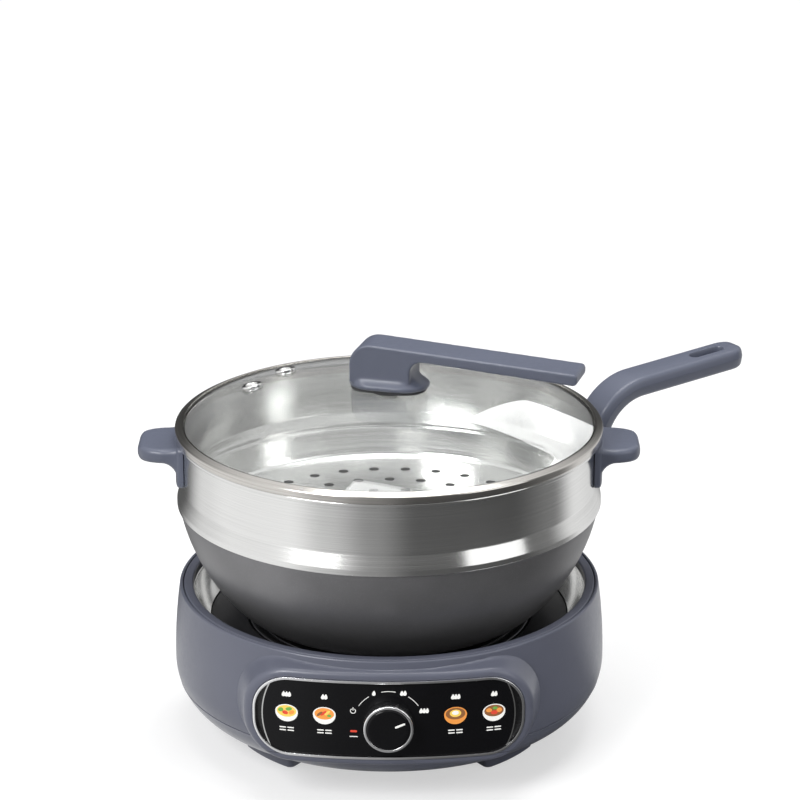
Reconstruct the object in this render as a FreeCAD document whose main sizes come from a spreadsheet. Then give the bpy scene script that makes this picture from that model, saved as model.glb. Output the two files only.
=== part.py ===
import FreeCAD, Part
import math
import os
import re
import Sketcher

# Electric wok: a heated base, a wok pan, a steamer tier and a glass lid, stacked as in use.
# The origin is on the axis of the base at table level, the panel faces -Y and +Z is up.

Vector = FreeCAD.Vector
doc = FreeCAD.newDocument("ElectricWok")

# Driving dimensions, in millimetres and degrees
sizes = {
    # Housing of the base: each step is a distance in from the radius of its rim, or out from it
    "rimStep": 1,
    "bellyStep": 4.5,
    "floorStep": 24,
    "feetHeight": 18,
    "heelRadius": 20,
    "heelAngle": 37,
    "rimHeight": 115,
    "rimRound": 1.6,
    "seamHeight": 41,
    "seamGap": 0.4,
    "housingWall": 2.5,
    "lipHeight": 4,
    "lipWall": 1.6,
    "lipClearance": 0.1,
    # Rim ring and the bright bowl inside it
    "mouthStep": 10.7,
    "ringLap": 0.3,
    "flangeReach": 7.2,
    "ringWidth": 7.6,
    "ringHeight": 6,
    "ringReveal": 0.5,
    "ringRound": 1.2,
    "sheetWall": 0.8,
    "bowlBend": 1.5,
    "bowlArc": 44.5,
    "bowlTopAngle": 72.8,
    "bowlBottomAngle": 42.8,
    "bowlClearance": 0.4,
    # Heating plate, its ring, tray and element, set in from the circle of the screws
    "pillarStep": 9,
    "seatLap": 3,
    "plateStep": 20.5,
    "grooveStep": 7.5,
    "coverGap": 1.3,
    "trayWallStep": 11,
    "trayFloorStep": 19,
    "plateHeight": 88,
    "plateThickness": 8,
    "plateHole": 23.5,
    "grooveWidth": 3,
    "grooveDepth": 1,
    "seatDrop": 3.2,
    "coverWall": 1.2,
    "coverRise": 2.7,
    "coverLip": 6,
    "trayDepth": 21.2,
    "trayHole": 8,
    "postCircle": 95,
    "postRadius": 4,
    "elementCircle": 80,
    "elementRadius": 4,
    "elementClearance": 0.2,
    "elementSpan": 320,
    "terminalLength": 12,
    "terminalRadius": 1.5,
    "beadRadius": 4,
    "fuseRadius": 4,
    "fuseLength": 24,
    "fuseCircle": 60,
    # Temperature sensor in the middle of the plate
    "holderRadius": 22.8,
    "holderWall": 1.2,
    "holderFloor": 2,
    "holderTop": 2.5,
    "guideRadius": 5,
    "guideHeight": 5,
    "stemRadius": 3,
    "stemClearance": 0.05,
    "capRadius": 17.5,
    "capSkirt": 12,
    "capClearance": 0.2,
    "sensorTravel": 5.4,
    "clipRadius": 5.5,
    "clipThickness": 1,
    "springRadius": 8,
    "springWire": 0.6,
    "springTurns": 6,
    # Screws that hold the bowl and the tray on the pillars of the floor
    "pillarRadius": 5,
    "screwClearance": 0.3,
    "screwRadius": 1.5,
    "screwHead": 3.2,
    "screwHeadHeight": 1.1,
    "screwLength": 20,
    # Floor vents
    "ventCircle": 70,
    "ventLength": 34,
    "ventWidth": 5,
    "ventCount": 16,
    # Feet and their pads
    "footStep": 11,
    "footDepth": 30,
    "footSpan": 25,
    "footFlare": 3,
    "footFlareHeight": 3,
    "footAngle": 48,
    "footRound": 4,
    "padInset": 4,
    "padHeight": 2.4,
    "padProud": 0.8,
    # Front boss and control panel
    "panelProud": 1,
    "panelCurve": 334,
    "panelHeight": 71,
    "bezelLength": 198,
    "bezelTall": 62,
    "bezelCorner": 27,
    "bezelWidth": 2,
    "bezelProud": 1,
    "bossMargin": 6,
    "bossWall": 2.5,
    "bossRound": 4,
    "bossDepth": 8,
    "panelDepth": 5.5,
    "panelClearance": 0.25,
    "ledgeWidth": 6,
    "trayRecess": 2.6,
    "glassProud": 2,
    "glassEnd": 5.5,
    "glassLead": 8,
    "dialDrop": 3,
    "lensOffset": 25.3,
    "lensDrop": 9,
    "lensLength": 5,
    "lensTall": 1.6,
    "lensDepth": 1.2,
    # Dial
    "dialRadius": 18.5,
    "dialRing": 2.6,
    "dialLift": 0.4,
    "dialHeight": 10,
    "dialCapProud": 0.8,
    "shaftRadius": 3,
    "shaftClearance": 0.05,
    "bushRadius": 4.6,
    "bushClearance": 0.2,
    "pointerLength": 9,
    "pointerWidth": 1.6,
    "pointerAngle": 24,
    "switchSize": 28,
    "switchGap": 0.4,
    # Control board behind the panel
    "boardLength": 120,
    "boardTall": 36,
    "boardHeight": 62,
    "boardWall": 1.6,
    "boardStep": 23.7,
    "standoffRadius": 3.5,
    "standoffSpacing": 50,
    "relayLength": 19,
    "relayTall": 15,
    "relayDepth": 13,
    "relayOffset": 35,
    "canRadius": 5,
    "canDepth": 12,
    # Power inlet at the back
    "inletProud": 1.3,
    "inletLength": 48,
    "inletTall": 26,
    "inletDepth": 26,
    "inletHeight": 62,
    "inletWall": 3,
    "inletCavity": 18,
    "inletCorner": 4,
    "inletClearance": 0.3,
    "inletPinRadius": 2,
    "inletPinLength": 14,
    "inletPinSpacing": 12,
    # Wok pan
    "panBaseRadius": 78.5,
    "panHeelRadius": 61.7,
    "panHeelAngle": 47.3,
    "panRimRadius": 160,
    "panDepth": 93,
    "panWall": 2,
    # Pan handle and its bracket
    "handleAzimuth": 32,
    "bracketGap": 0.1,
    "bracketWall": 2,
    "bracketSpan": 24,
    "bracketBottom": 42,
    "bracketTop": 13,
    "strapWidth": 27,
    "strapDrop": 16,
    "strapBend": 9,
    "strapReach": 22,
    "rootGap": 21,
    "rootRise": 2,
    "rootLean": 62,
    "rootLeg": 53,
    "handleSlope": 4,
    "handleReach": 129,
    "handleBend": 46,
    "handleThickness": 17,
    "handleWidth": 31,
    "handleTipRound": 14.5,
    "handleRound": 5.5,
    "socketClearance": 0.1,
    "hangLength": 32,
    "hangWidth": 10,
    "hangDistance": 32,
    "rivetDrop": 29,
    "rivetAngle": 8,
    "rivetHead": 7,
    "rivetHeight": 3,
    "rivetShank": 3,
    "rivetSeat": 0.05,
    "rivetLift": 0.25,
    "gripScrewRadius": 2,
    "gripScrewHead": 3.6,
    "gripScrewReach": 12,
    # Steamer tier
    "steamerStep": 3,
    "steamerRise": 55,
    "steamerSkirt": 23,
    "steamerWall": 0.8,
    "beadWidth": 3.5,
    "beadHeight": 3.5,
    "beadRound": 1.2,
    "flareReach": 4.5,
    "flareTop": 15,
    "flareBottom": 4,
    "skirtClearance": 0.8,
    "skirtBend": 6,
    "holeRadius": 4,
    "holePitch": 24,
    "wingFlange": 5,
    "wingSpan": 22,
    "wingTop": 5.5,
    "wingBottom": 38,
    "wingGap": 0.1,
    "wingLength": 33,
    "wingRootWidth": 60,
    "wingTipWidth": 46,
    "wingDrop": 8,
    "wingThickness": 11,
    "wingCorner": 12,
    "wingRound": 4,
    "wingRivetHead": 4,
    "wingRivetHeight": 1.6,
    "wingRivetShank": 2,
    "wingRivetAngle": 6.5,
    "wingRivetDrop": 25,
    # Glass lid, measured from the wall of the steamer
    "lidEdgeStep": 3.6,
    "lidBandStep": 5,
    "lidCoverStep": 1.5,
    "lidLipStep": 1.6,
    "lidSag": 29,
    "lidGlass": 4,
    "lidBandWall": 0.8,
    "lidBandGap": 0.1,
    "lidLipDepth": 5,
    "lidHole": 4,
    "ventRadius": 113,
    "ventFirst": 136,
    "ventSecond": 159,
    "ventHole": 5.8,
    "ventFlange": 8,
    "ventFlangeHeight": 2,
    "ventBore": 3,
    "ventDish": 5.2,
    "ventFit": 0.05,
    # Lid handle
    "gripAzimuth": -16,
    "gasketThickness": 1.5,
    "gasketInset": 2,
    "gripBaseLength": 62,
    "gripBaseWidth": 40,
    "gripBaseShift": 0.5,
    "gripFoot": 3,
    "gripFlare": 14,
    "gripHeight": 36,
    "gripArm": 9,
    "gripBack": 27,
    "gripFront": 20,
    "gripThroat": 10,
    "gripReach": 148,
    "gripDroop": 10,
    "gripWidth": 31,
    "gripRound": 3,
    "gripCorner": 12,
    "washerRadius": 14,
    "washerThickness": 1.5,
    "lidScrewRadius": 3,
    "lidScrewHead": 7,
    "lidScrewHeadHeight": 4,
    "lidScrewReach": 16,
}

sheet = doc.addObject("Spreadsheet::Sheet", "Sizes")
for row, (sizeName, number) in enumerate(sizes.items(), 1):
    sheet.set(f"A{row}", sizeName)
    sheet.set(f"B{row}", str(number))
    sheet.setAlias(f"B{row}", sizeName)
doc.recompute()

# Radii and distances that follow from others, so that neighbours keep together
derived = {
    "rimRadius": "(panRimRadius + rimStep)",
    "bellyRadius": "(rimRadius + bellyStep)",
    "floorRadius": "(rimRadius - floorStep)",
    "bowlMouth": "(rimRadius - mouthStep)",
    "ringInner": "(bowlMouth + ringLap)",
    "bowlFlange": "(bowlMouth + flangeReach)",
    "bowlFoot": "(bowlMouth - bowlArc * (sin(bowlTopAngle) - sin(bowlBottomAngle)))",
    "pillarCircle": "(bowlFoot - pillarStep)",
    "seatInner": "(pillarCircle - seatLap)",
    "plateRadius": "(pillarCircle - plateStep)",
    "grooveRadius": "(plateRadius - grooveStep)",
    "coverInner": "(plateRadius + coverGap)",
    "trayFlange": "(pillarCircle + seatLap)",
    "trayWallRadius": "(pillarCircle - trayWallStep)",
    "trayFloorRadius": "(pillarCircle - trayFloorStep)",
    "footOuter": "(floorRadius - footStep)",
    "footInner": "(footOuter - footDepth)",
    "panelFront": "(bellyRadius + panelProud)",
    "boardDistance": "(panelFront - boardStep)",
    "inletFront": "(bellyRadius + inletProud)",
    "rootRadius": "(panRimRadius + rootGap)",
    "steamerRadius": "(panRimRadius - steamerStep)",
    "wingReach": "(steamerRadius + wingLength)",
    "lidEdge": "(steamerRadius + lidEdgeStep)",
    "lidBand": "(steamerRadius + lidBandStep)",
    "lidBandCover": "(steamerRadius - lidCoverStep)",
    "lidLipRadius": "(steamerRadius - lidLipStep)",
}
nodes = {}


def spelledOut(text):
    # Puts the cells of the sheet in place of every derived name
    found = True
    while found:
        found = False
        for word in set(re.findall(r"[a-z]\w*", text)) & set(derived):
            text = re.sub(rf"\b{word}\b", derived[word], text)
            found = True
    return text


def value(text):
    return float(sheet.evalExpression(spelledOut(text)))


def bind(target, prop, text):
    # Every name left in the text is a cell of the sheet, and a name before a bracket is a function
    text = spelledOut(text)
    target.setExpression(prop, re.sub(r"\b(?!deg\b)([a-z]\w*)\b(?!\()", r"Sizes.\1", text))


def named(node, thing):
    thing.Label = node
    nodes[node] = thing
    return thing


def planeOf(body, role):
    return [part for part in body.Origin.OriginFeatures if part.Role == role][0]


def sketchOn(body, name, role, start="0"):
    sketch = body.newObject("Sketcher::SketchObject", name)
    sketch.AttachmentSupport = [(planeOf(body, role), "")]
    sketch.MapMode = "FlatFace"
    if start != "0":
        bind(sketch, "AttachmentOffset.Base.z", start)
    return sketch


def pin(sketch, geometry, end, x, y):
    # Ties a point of the sketch to two expressions
    for kind, text in (("DistanceX", x), ("DistanceY", y)):
        number = sketch.addConstraint(Sketcher.Constraint(kind, -1, 1, geometry, end, value(text)))
        bind(sketch, f"Constraints[{number}]", text)


def tieRadius(sketch, geometry, text):
    number = sketch.addConstraint(Sketcher.Constraint("Radius", geometry, value(text)))
    bind(sketch, f"Constraints[{number}]", text)


def outline(sketch, path):
    # Each step is (x, y) for a line to a point, (x, y, radius, side) for an arc to a point with its
    # centre to the left or right of the way there, or (x, y, radius) for a corner rounded off
    points = [Vector(value(step[0]), value(step[1]), 0) for step in path]
    count = len(path)
    leaving = list(points)
    arriving = list(points)
    for index, step in enumerate(path):
        if len(step) != 3:
            continue
        corner = points[index]
        back = (points[index - 1] - corner).normalize()
        onward = (points[(index + 1) % count] - corner).normalize()
        cut = value(step[2]) / math.tan(back.getAngle(onward) / 2)
        arriving[index] = corner + back * cut
        leaving[index] = corner + onward * cut
    starts = {}
    ends = {}
    for index in range(count):
        following = (index + 1) % count
        step = path[following]
        start = leaving[index]
        end = arriving[following]
        if len(step) < 4:
            segment = sketch.addGeometry(Part.LineSegment(start, end), False)
            starts[index] = (segment, 1)
            ends[following] = (segment, 2)
            continue
        radius = value(step[2])
        left = step[3] == "left"
        way = end - start
        across = Vector(-way.y, way.x, 0).normalize() * (1 if left else -1)
        rise = math.sqrt(max(radius ** 2 - (way.Length / 2) ** 2, 0))
        centre = (start + end) / 2 + across * rise
        first, last = (start, end) if left else (end, start)
        angles = [math.atan2(spot.y - centre.y, spot.x - centre.x) for spot in (first, last)]
        if angles[1] < angles[0]:
            angles[1] += 2 * math.pi
        circle = Part.Circle(centre, Vector(0, 0, 1), radius)
        segment = sketch.addGeometry(Part.ArcOfCircle(circle, *angles), False)
        starts[index] = (segment, 1 if left else 2)
        ends[following] = (segment, 2 if left else 1)
        tieRadius(sketch, segment, step[2])
    for index, step in enumerate(path):
        arrival = ends[index]
        departure = starts[index]
        if len(step) != 3:
            sketch.addConstraint(Sketcher.Constraint("Coincident", *arrival, *departure))
            pin(sketch, *departure, step[0], step[1])
            continue
        before = points[index] - arriving[index]
        turn = before.x * (leaving[index] - points[index]).y - before.y * (leaving[index] - points[index]).x
        radius = value(step[2])
        normal = Vector(-before.y, before.x, 0).normalize() * (1 if turn > 0 else -1)
        centre = arriving[index] + normal * radius
        first, last = arriving[index], leaving[index]
        if turn < 0:
            first, last = last, first
        angles = [math.atan2(spot.y - centre.y, spot.x - centre.x) for spot in (first, last)]
        if angles[1] < angles[0]:
            angles[1] += 2 * math.pi
        circle = Part.Circle(centre, Vector(0, 0, 1), radius)
        arc = sketch.addGeometry(Part.ArcOfCircle(circle, *angles), False)
        nearEnd, farEnd = (1, 2) if turn > 0 else (2, 1)
        mark = sketch.addGeometry(Part.Point(points[index]), True)
        pin(sketch, mark, 1, step[0], step[1])
        sketch.addConstraint(Sketcher.Constraint("PointOnObject", mark, 1, arrival[0]))
        sketch.addConstraint(Sketcher.Constraint("PointOnObject", mark, 1, departure[0]))
        sketch.addConstraint(Sketcher.Constraint("Tangent", arrival[0], arrival[1], arc, nearEnd))
        sketch.addConstraint(Sketcher.Constraint("Tangent", departure[0], departure[1], arc, farEnd))
        tieRadius(sketch, arc, step[2])


def newBody(name):
    return doc.addObject("PartDesign::Body", name)


def turned(name, path, span=None):
    # A profile in the XZ plane turned about the Z axis
    body = newBody(name)
    sketch = sketchOn(body, name + "Profile", "XZ_Plane")
    outline(sketch, path)
    feature = body.newObject("PartDesign::Revolution", name + "Turn")
    feature.Profile = sketch
    feature.ReferenceAxis = (sketch, ["V_Axis"])
    if span:
        feature.Midplane = True
        bind(feature, "Angle", span)
    body.Tip = feature
    return body


def pad(body, name, path, role, length, start="0", both=False):
    # A sketch on XY rises, one on XZ runs to -Y and one on YZ runs to +X
    sketch = sketchOn(body, name + "Outline", role, start)
    outline(sketch, path)
    feature = body.newObject("PartDesign::Pad", name)
    feature.Profile = sketch
    bind(feature, "Length", length)
    feature.Midplane = both
    body.Tip = feature
    return feature


def solid(name, path, role, length, start="0", both=False):
    body = newBody(name)
    pad(body, name + "Pad", path, role, length, start, both)
    return body


def pocket(body, name, path, role, length, start="0", both=False, reverse=False):
    sketch = sketchOn(body, name + "Outline", role, start)
    outline(sketch, path)
    feature = body.newObject("PartDesign::Pocket", name)
    feature.Profile = sketch
    bind(feature, "Length", length)
    feature.Midplane = both
    feature.Reversed = reverse
    body.Tip = feature
    return feature


def around(body, name, feature, count):
    pattern = body.newObject("PartDesign::PolarPattern", name)
    pattern.Originals = [feature]
    pattern.Axis = (planeOf(body, "Z_Axis"), [""])
    pattern.Angle = 360
    bind(pattern, "Occurrences", count)
    body.Tip = pattern
    return pattern


def roundEdges(body, name, radius, test):
    doc.recompute()
    tip = body.Tip
    chosen = [f"Edge{number}" for number, edge in enumerate(tip.Shape.Edges, 1) if test(edge)]
    feature = body.newObject("PartDesign::Fillet", name)
    feature.Base = (tip, chosen)
    bind(feature, "Radius", radius)
    body.Tip = feature
    return feature


def rectangle(left, right, low, high, corner=None):
    # Counter-clockwise from the low left corner
    points = [(left, low), (right, low), (right, high), (left, high)]
    if corner:
        points = [point + (corner,) for point in points]
    return points


def centred(long, tall, middle, corner=None):
    half = f"({long}) / 2"
    rise = f"({tall}) / 2"
    return rectangle(f"-({half})", half, f"({middle}) - {rise}", f"({middle}) + {rise}", corner)


def cylinder(name, radius, height, x="0", y="0", z="0", axis=(0, 0, 1)):
    thing = doc.addObject("Part::Cylinder", name)
    bind(thing, "Radius", radius)
    bind(thing, "Height", height)
    place(thing, x, y, z, axis)
    return thing


def box(name, long, deep, tall, x, y, z):
    thing = doc.addObject("Part::Box", name)
    bind(thing, "Length", long)
    bind(thing, "Width", deep)
    bind(thing, "Height", tall)
    place(thing, x, y, z)
    return thing


def place(thing, x, y, z, axis=(0, 0, 1)):
    thing.Placement = FreeCAD.Placement(Vector(), FreeCAD.Rotation(Vector(0, 0, 1), Vector(*axis)))
    for letter, text in zip("xyz", (x, y, z)):
        bind(thing, f"Placement.Base.{letter}", text)
    return thing


def swing(thing, azimuth):
    thing.Placement = FreeCAD.Placement(Vector(), FreeCAD.Rotation(Vector(0, 0, 1), 1))
    bind(thing, "Placement.Rotation.Angle", azimuth)
    return thing


def boolean(kind, name, base, tool):
    thing = doc.addObject(kind, name)
    thing.Base = base
    thing.Tool = tool
    return thing


def cut(name, base, *tools):
    tool = tools[0] if len(tools) == 1 else group(name + "Tools", tools)
    return boolean("Part::Cut", name, base, tool)


def common(name, base, tool):
    return boolean("Part::Common", name, base, tool)


def fuse(name, *parts):
    thing = doc.addObject("Part::MultiFuse", name)
    thing.Shapes = list(parts)
    return thing


def group(name, parts):
    thing = doc.addObject("Part::Compound", name)
    thing.Links = list(parts)
    return thing


# Shape of the housing: a small heel arc, a belly arc and a long taper up to the rim
heelX = "(floorRadius + heelRadius * sin(heelAngle))"
bellyArc = f"((bellyRadius - {heelX}) / (1 - sin(heelAngle)))"
bellyHeight = f"(feetHeight + heelRadius * (1 - cos(heelAngle)) + {bellyArc} * cos(heelAngle))"
taperRise = f"(rimHeight - {bellyHeight})"
taperArc = f"((({taperRise})^2 + (bellyRadius - rimRadius)^2) / (2 * (bellyRadius - rimRadius)))"
ledgeTop = "(rimHeight - ringHeight - sheetWall)"
ringSeat = "(ringInner + ringWidth + ringReveal)"
ledgeInner = "(bowlMouth + bowlBend + bowlClearance)"


def bellyAt(height, inset):
    return (f"(bellyRadius - {bellyArc} + sqrt(({bellyArc} - ({inset}))^2"
            f" - ({bellyHeight} - ({height}))^2))")


def taperAt(height, inset):
    return (f"(bellyRadius - {taperArc} + sqrt(({taperArc} - ({inset}))^2"
            f" - (({height}) - {bellyHeight})^2))")


def heelPoint(inset):
    return (f"floorRadius + (heelRadius - {inset}) * sin(heelAngle)",
            f"feetHeight + heelRadius - (heelRadius - {inset}) * cos(heelAngle)")


def panelLayer(name, path, front, back):
    # A slab of the panel between two depths behind its front face, curved in plan
    reach = "(panelCurve + panelFront)"
    block = solid(name + "Block", path, "XZ_Plane", "panelFront", "panelFront / 2")
    axis = "panelCurve - panelFront"
    outside = cylinder(name + "Outside", f"panelCurve - ({front})", reach, "0", axis, "-panelFront")
    inside = cylinder(name + "Inside", f"panelCurve - ({back})", reach, "0", axis, "-panelFront")
    return common(name, block, cut(name + "Shell", outside, inside))


def bossOutline(margin):
    return centred(f"bezelLength + 2 * ({margin})", f"bezelTall + 2 * ({margin})", "panelHeight",
                   f"bezelCorner + ({margin})")


def circleOn(sketch, radius, x, y):
    middle = Vector(value(x), value(y), 0)
    number = sketch.addGeometry(Part.Circle(middle, Vector(0, 0, 1), value(radius)), False)
    pin(sketch, number, 3, x, y)
    tieRadius(sketch, number, radius)


def drill(body, name, radius, x, y, role, start, length, reverse=False):
    sketch = sketchOn(body, name + "Circle", role, start)
    circleOn(sketch, radius, x, y)
    feature = body.newObject("PartDesign::Pocket", name)
    feature.Profile = sketch
    bind(feature, "Length", length)
    feature.Reversed = reverse
    body.Tip = feature
    return feature


def perch(thing, azimuth, tilt, radius, height, shift="0"):
    # Stands a piece made about its own Z axis on a dome or wall: tilt is its lean from the vertical,
    # and shift moves it along its own axis
    lean = FreeCAD.Rotation(Vector(0, 0, 1), value(azimuth)) * FreeCAD.Rotation(Vector(0, 1, 0), value(tilt))
    thing.Placement = FreeCAD.Placement(Vector(), lean)
    out = f"(({radius}) + ({shift}) * sin({tilt}))"
    bind(thing, "Placement.Base.x", f"{out} * cos({azimuth})")
    bind(thing, "Placement.Base.y", f"{out} * sin({azimuth})")
    bind(thing, "Placement.Base.z", f"({height}) + ({shift}) * cos({tilt})")
    return thing


def onPanel(edge, depth):
    # True for an edge that lies on the curved front of the panel, this far behind its face
    middle = value("panelCurve - panelFront")
    radius = value("panelCurve") - depth
    spots = [edge.valueAt(edge.FirstParameter + share * (edge.LastParameter - edge.FirstParameter))
             for share in (0, 0.3, 0.7, 1)]
    return all(abs(math.hypot(spot.x, spot.y - middle) - radius) < 0.01 and spot.y < 0 for spot in spots)


def housing():
    wall = "housingWall"
    top = "(rimHeight - rimRound)"
    under = f"({ledgeTop} - {wall})"
    shoulder = taperAt(top, "0")
    upperShell = turned("UpperShell", [
        (bellyAt("seamHeight", wall), "seamHeight", f"{bellyArc} - {wall}", "right"),
        (bellyAt("seamHeight", "0"), "seamHeight"),
        ("bellyRadius", bellyHeight, bellyArc, "left"),
        (shoulder, top, taperArc, "left"),
        (f"{shoulder} - rimRound", "rimHeight", "rimRound", "left"),
        (ringSeat, "rimHeight"),
        (ringSeat, ledgeTop),
        (ledgeInner, ledgeTop),
        (ledgeInner, under),
        (taperAt(under, wall), under),
        (f"bellyRadius - {wall}", bellyHeight, f"{taperArc} - {wall}", "right"),
    ])
    edge = "(seamHeight - seamGap)"
    lipOuter = f"({bellyAt('seamHeight', wall)} - lipClearance)"
    lipFoot = "(seamHeight - lipHeight)"
    lowerShell = turned("LowerShell", [
        ("0", "feetHeight"),
        ("floorRadius", "feetHeight"),
        heelPoint("0") + ("heelRadius", "left"),
        (bellyAt(edge, "0"), edge, bellyArc, "left"),
        (lipOuter, edge),
        (lipOuter, "seamHeight + lipHeight"),
        (f"{lipOuter} - lipWall", "seamHeight + lipHeight"),
        (bellyAt(lipFoot, wall), lipFoot),
        heelPoint(wall) + (f"{bellyArc} - {wall}", "right"),
        ("floorRadius", f"feetHeight + {wall}", f"heelRadius - {wall}", "right"),
        ("0", f"feetHeight + {wall}"),
    ])
    vent = pocket(lowerShell, "FloorVent", rectangle(
        "ventCircle - ventLength / 2", "ventCircle + ventLength / 2", "-ventWidth / 2", "ventWidth / 2",
        "ventWidth / 2.2"), "XY_Plane", f"feetHeight + {wall} + 1", reverse=True)
    around(lowerShell, "FloorVents", vent, "ventCount")

    # The boss is a rounded block round the panel, hollow behind, and cut at the seam
    inside = turned("HousingSpace", [
        ("0", f"feetHeight + {wall}"),
        ("floorRadius", f"feetHeight + {wall}"),
        heelPoint(wall) + (f"heelRadius - {wall}", "left"),
        (f"bellyRadius - {wall}", bellyHeight, f"{bellyArc} - {wall}", "left"),
        (taperAt(top, wall), top, f"{taperArc} - {wall}", "left"),
        ("0", top),
    ])
    deep = "panelFront"
    start = "panelFront / 2"
    front = panelLayer("BossFront", bossOutline("bossMargin"), "0", "bossDepth")
    block = solid("BossBlock", bossOutline("bossMargin"), "XZ_Plane", deep, start)
    hollow = solid("BossHollow", bossOutline("bossMargin - bossWall"), "XZ_Plane", deep, start)
    face = cylinder("BossFace", "panelCurve", "2 * rimHeight", "0", "panelCurve - panelFront")
    sides = cut("BossSides", common("BossCurved", block, face), hollow, inside)
    rounded = doc.addObject("Part::Fillet", "BossRounded")
    rounded.Base = fuse("BossWhole", front, sides)
    doc.recompute()
    edges = [number for number, edge in enumerate(rounded.Base.Shape.Edges, 1) if onPanel(edge, 0)]
    rounded.Edges = [(number, value("bossRound"), value("bossRound")) for number in edges]
    recess = panelLayer("PanelRecess", centred(
        "bezelLength + 2 * panelClearance", "bezelTall + 2 * panelClearance", "panelHeight",
        "bezelCorner + panelClearance"), "-4 * bezelProud", "panelDepth")
    window = solid("PanelWindow", bossOutline("-ledgeWidth"), "XZ_Plane", deep, start)
    boss = cut("Boss", rounded, recess, window)
    wide = "4 * bellyRadius"
    above = box("AboveSeam", wide, wide, "rimHeight", "-2 * bellyRadius", "-2 * bellyRadius", "seamHeight")
    below = box("BelowSeam", wide, wide, edge, "-2 * bellyRadius", "-2 * bellyRadius", "0")
    inletHole = solid("InletWindow", centred(
        "inletLength + 2 * inletClearance", "inletTall + 2 * inletClearance", "inletHeight",
        "inletCorner + inletClearance"), "XZ_Plane", "2 * inletDepth", "-inletFront - inletDepth")
    upper = fuse("UpperWithBoss", cut("UpperOpened", upperShell, hollow), common("UpperBoss", boss, above))
    named("upper_housing", cut("UpperHousing", upper, inletHole))

    # Four pillars stand on the floor under the flange of the tray
    pillars = []
    for number in range(4):
        spot = [("pillarCircle", "0"), ("0", "pillarCircle"), ("-pillarCircle", "0"), ("0", "-pillarCircle")]
        foot = f"(feetHeight + {wall} / 2)"
        pillar = cylinder(f"Pillar{number}", "pillarRadius", f"{flangeUnder} - {foot}", *spot[number], foot)
        hole = cylinder(f"PillarHole{number}", "screwRadius", "screwLength + 2", *spot[number],
                        f"{flangeUnder} - screwLength - 2")
        pillars.append(cut(f"PillarBored{number}", pillar, hole))
    lower = fuse("LowerWithBoss", cut("LowerOpened", lowerShell, hollow), common("LowerBoss", boss, below))
    named("lower_housing", fuse("LowerHousing", lower, *pillars))


def screwSpots():
    return [("pillarCircle", "0"), ("0", "pillarCircle"), ("-pillarCircle", "0"), ("0", "-pillarCircle")]


def screwHoles(name, low, height):
    return [cylinder(f"{name}{number}", "screwRadius + screwClearance", height, *spot, low)
            for number, spot in enumerate(screwSpots())]


def rimAndBowl():
    ring = turned("TopRing", [
        ("ringInner", f"{ledgeTop} + sheetWall"),
        ("ringInner + ringWidth", f"{ledgeTop} + sheetWall"),
        ("ringInner + ringWidth", "rimHeight", "ringRound"),
        ("ringInner", "rimHeight", "ringRound"),
    ])
    named("top_ring", ring)
    outerArc = "(bowlArc + sheetWall)"
    bowl = turned("InnerBowl", [
        ("bowlFlange", f"{ledgeTop} + sheetWall"),
        ("bowlMouth + bowlBend", f"{ledgeTop} + sheetWall"),
        ("bowlMouth", f"{ledgeTop} + sheetWall - bowlBend", "bowlBend", "left"),
        ("bowlFoot", f"{bowlCentreHeight} - bowlArc * cos(bowlBottomAngle)", "bowlArc", "right"),
        ("bowlFoot", bowlSeat),
        ("seatInner", bowlSeat),
        ("seatInner", f"{bowlSeat} - sheetWall"),
        ("bowlFoot + sheetWall", f"{bowlSeat} - sheetWall"),
        (f"{bowlCentre} + {outerArc} * sin(bowlBottomAngle)",
         f"{bowlCentreHeight} - {outerArc} * cos(bowlBottomAngle)"),
        (f"{bowlCentre} + {outerArc} * sin(bowlTopAngle)",
         f"{bowlCentreHeight} - {outerArc} * cos(bowlTopAngle)", outerArc, "left"),
        ("bowlMouth + bowlBend", ledgeTop),
        ("bowlFlange", ledgeTop),
    ])
    named("inner_bowl", cut("BowlWithHoles", bowl, *screwHoles("BowlHole", f"{bowlSeat} - 3", "6")))


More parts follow.
